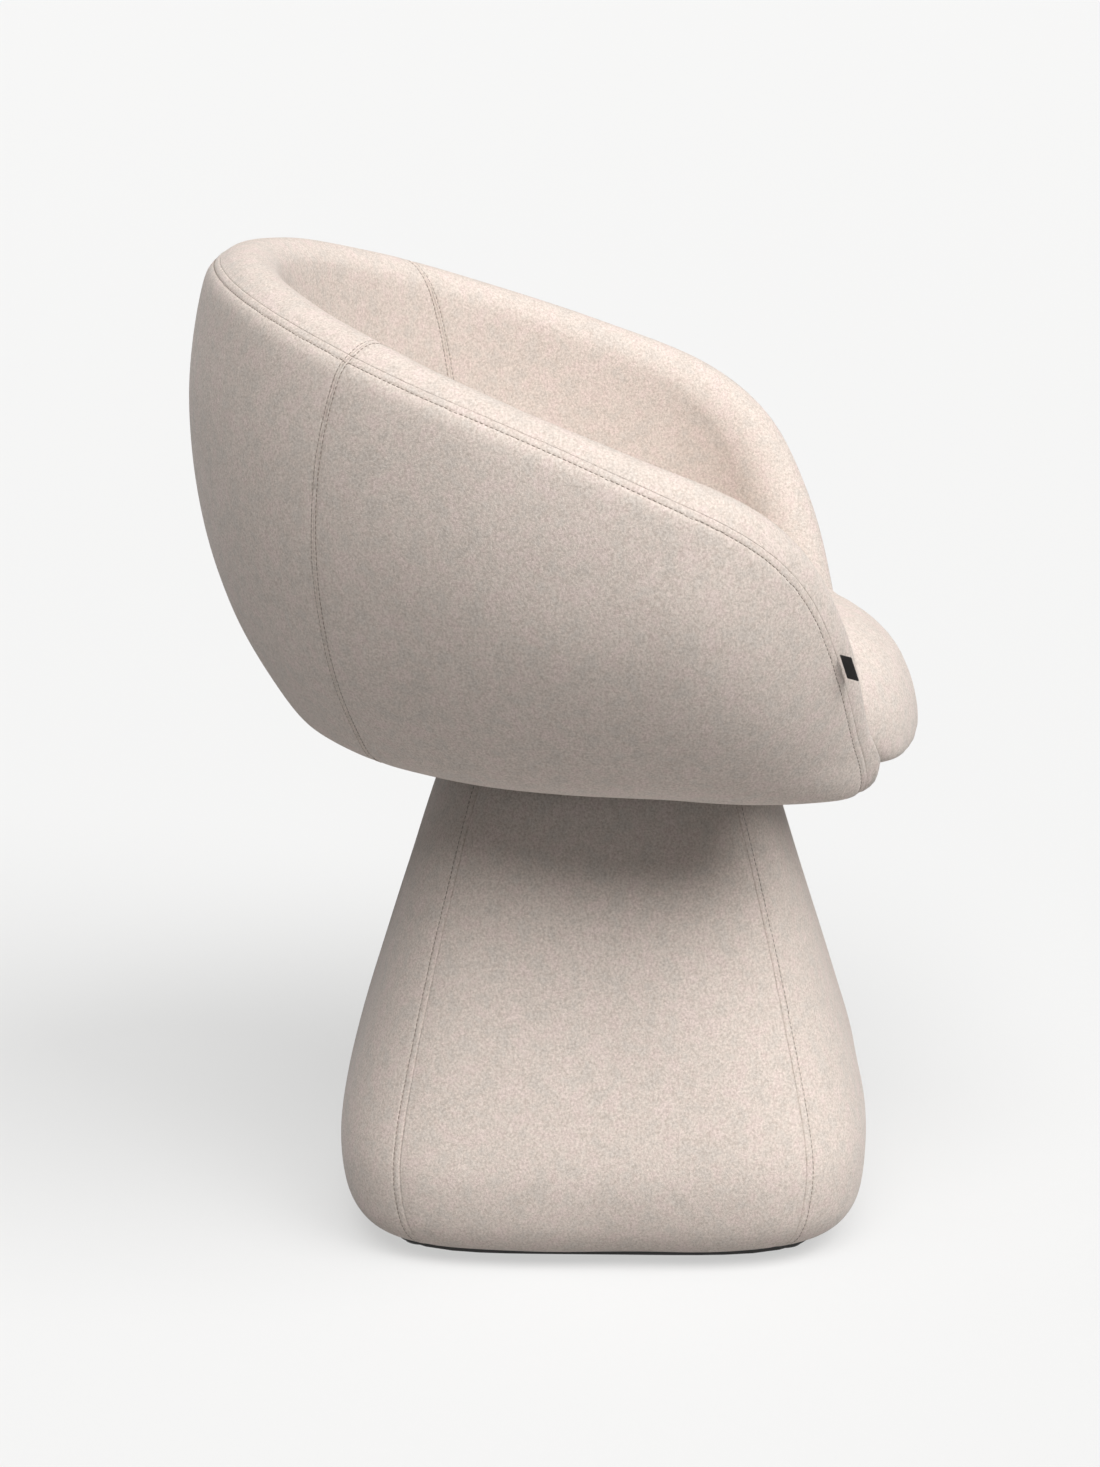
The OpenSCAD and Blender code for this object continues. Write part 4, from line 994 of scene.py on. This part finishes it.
# %% Staples
staple_size, staple_pitch, staple_inset = (10 * MM, 1.2 * MM, 0.5 * MM), 42 * MM, 5 * MM
staple = bmesh.new()
bmesh.ops.create_cube(staple, size=1, matrix=Matrix.Diagonal((*staple_size, 1)))
bmesh.ops.bevel(staple, geom=staple.edges, offset=0.15 * MM, affect="EDGES", segments=1, profile=0.5,
    material=-1)
staple_shape = bpy.data.meshes.new("staple")
staple.to_mesh(staple_shape)
staple.free()
board_middle = sum(edge_loop, Vector()) / len(edge_loop)
staple_places = []
for point, course in points_along(edge_loop, staple_pitch):
    inward = Vector((0, 0, 1)).cross(course)
    inward *= math.copysign(1, inward.dot(board_middle - point))
    turn = Matrix((course, inward, course.cross(inward))).transposed().to_4x4()
    staple_places.append(Matrix.Translation(point + staple_inset * inward) @ turn)
copies("staples", staple_shape, staple_places, zinc_plate, "seat")

# %% [markdown]
# ## The light
# The photograph was taken in a studio with large soft lights: the main one stands to the right,
# in front of the chair, and one hangs high over the camera.
# Sun lamps with a wide angle give such light evenly. The room hardly adds to it, so the pedestal's top lies
# in deep shadow under the seat. The floor sends back little light too, and the paleness that the camera sees
# is its own colour: Is Camera Ray gives it a part that no shadow takes away, so that the shadow on it stays
# as faint as in the photograph.

# %% Floor, room and lamps
def seen_directly(tree):
    """1 for rays from the camera, and for those that mirrors and glass pass on."""
    rays = add_node(tree, "LightPath")
    plain = add_node(tree, "Math", {"operation": "MAXIMUM"}, {0: rays.outputs["Is Camera Ray"],
        1: rays.outputs["Is Glossy Ray"]})
    return add_node(tree, "Math", {"operation": "MAXIMUM"}, {0: plain.outputs[0],
        1: rays.outputs["Is Transmission Ray"]}).outputs[0]


# Half the floor's width in metres, the grey that it sends back and the grey that is seen, and the paleness
# that no shadow takes away
floor_reach, sent_grey, seen_grey, own_paleness = 60, 0.38, 0.27, 0.55
floor_mesh = bpy.data.meshes.new("floor")
bm = bmesh.new()
bmesh.ops.create_grid(bm, x_segments=1, y_segments=1, size=floor_reach)
bm.to_mesh(floor_mesh)
bm.free()
floor = bpy.data.objects.new("floor", floor_mesh)
scene.collection.objects.link(floor)
floor_paint, tree, shader, _ = start_material("matt_studio_floor", 0.9)
seen = seen_directly(tree)
floor_shade = add_node(tree, "Mix", {"data_type": "RGBA"},
    {0: seen, MIX_A: grey(sent_grey), MIX_B: grey(seen_grey)})
tree.links.new(floor_shade.outputs[MIX_OUT], shader.inputs["Base Color"])
shader.inputs["Specular IOR Level"].default_value = 0.1
shader.inputs["Emission Color"].default_value = colour("#FFFFFE")
paleness = add_node(tree, "Math", {"operation": "MULTIPLY"}, {0: seen, 1: own_paleness})
tree.links.new(paleness.outputs[0], shader.inputs["Emission Strength"])
floor_mesh.materials.append(floor_paint)

room = bpy.data.worlds.new("white_room")
scene.world = room
room.use_nodes = True
tree = room.node_tree
backdrop = add_node(tree, "Background", {}, {"Color": colour("#F7F6F4"), "Strength": 1.0})
room_light = 0.03
fill = add_node(tree, "Background", {}, {"Color": colour("#FBFBFF"), "Strength": room_light})
chosen = add_node(tree, "MixShader", {}, {0: seen_directly(tree), 1: fill.outputs[0], 2: backdrop.outputs[0]})
tree.links.new(chosen.outputs[0], tree.nodes["World Output"].inputs["Surface"])


def soft_light(name, energy, angle, azimuth, height):
    """A sun lamp; azimuth 0 is the camera's side and 90 the chair's front, and all angles are in degrees."""
    lamp = bpy.data.objects.new(name, bpy.data.lights.new(name, "SUN"))
    lamp.data.energy = energy
    lamp.data.angle = math.radians(angle)
    az, up = math.radians(azimuth), math.radians(height)
    towards = Vector((-math.cos(az) * math.cos(up), -math.sin(az) * math.cos(up), math.sin(up)))
    lamp.rotation_mode = "QUATERNION"
    lamp.rotation_quaternion = towards.to_track_quat("Z", "Y")
    scene.collection.objects.link(lamp)


soft_light("main_light", energy=2.7, angle=40, azimuth=58, height=50)
soft_light("top_light", energy=2.2, angle=40, azimuth=-10, height=62)
scene.view_settings.view_transform = "Standard"
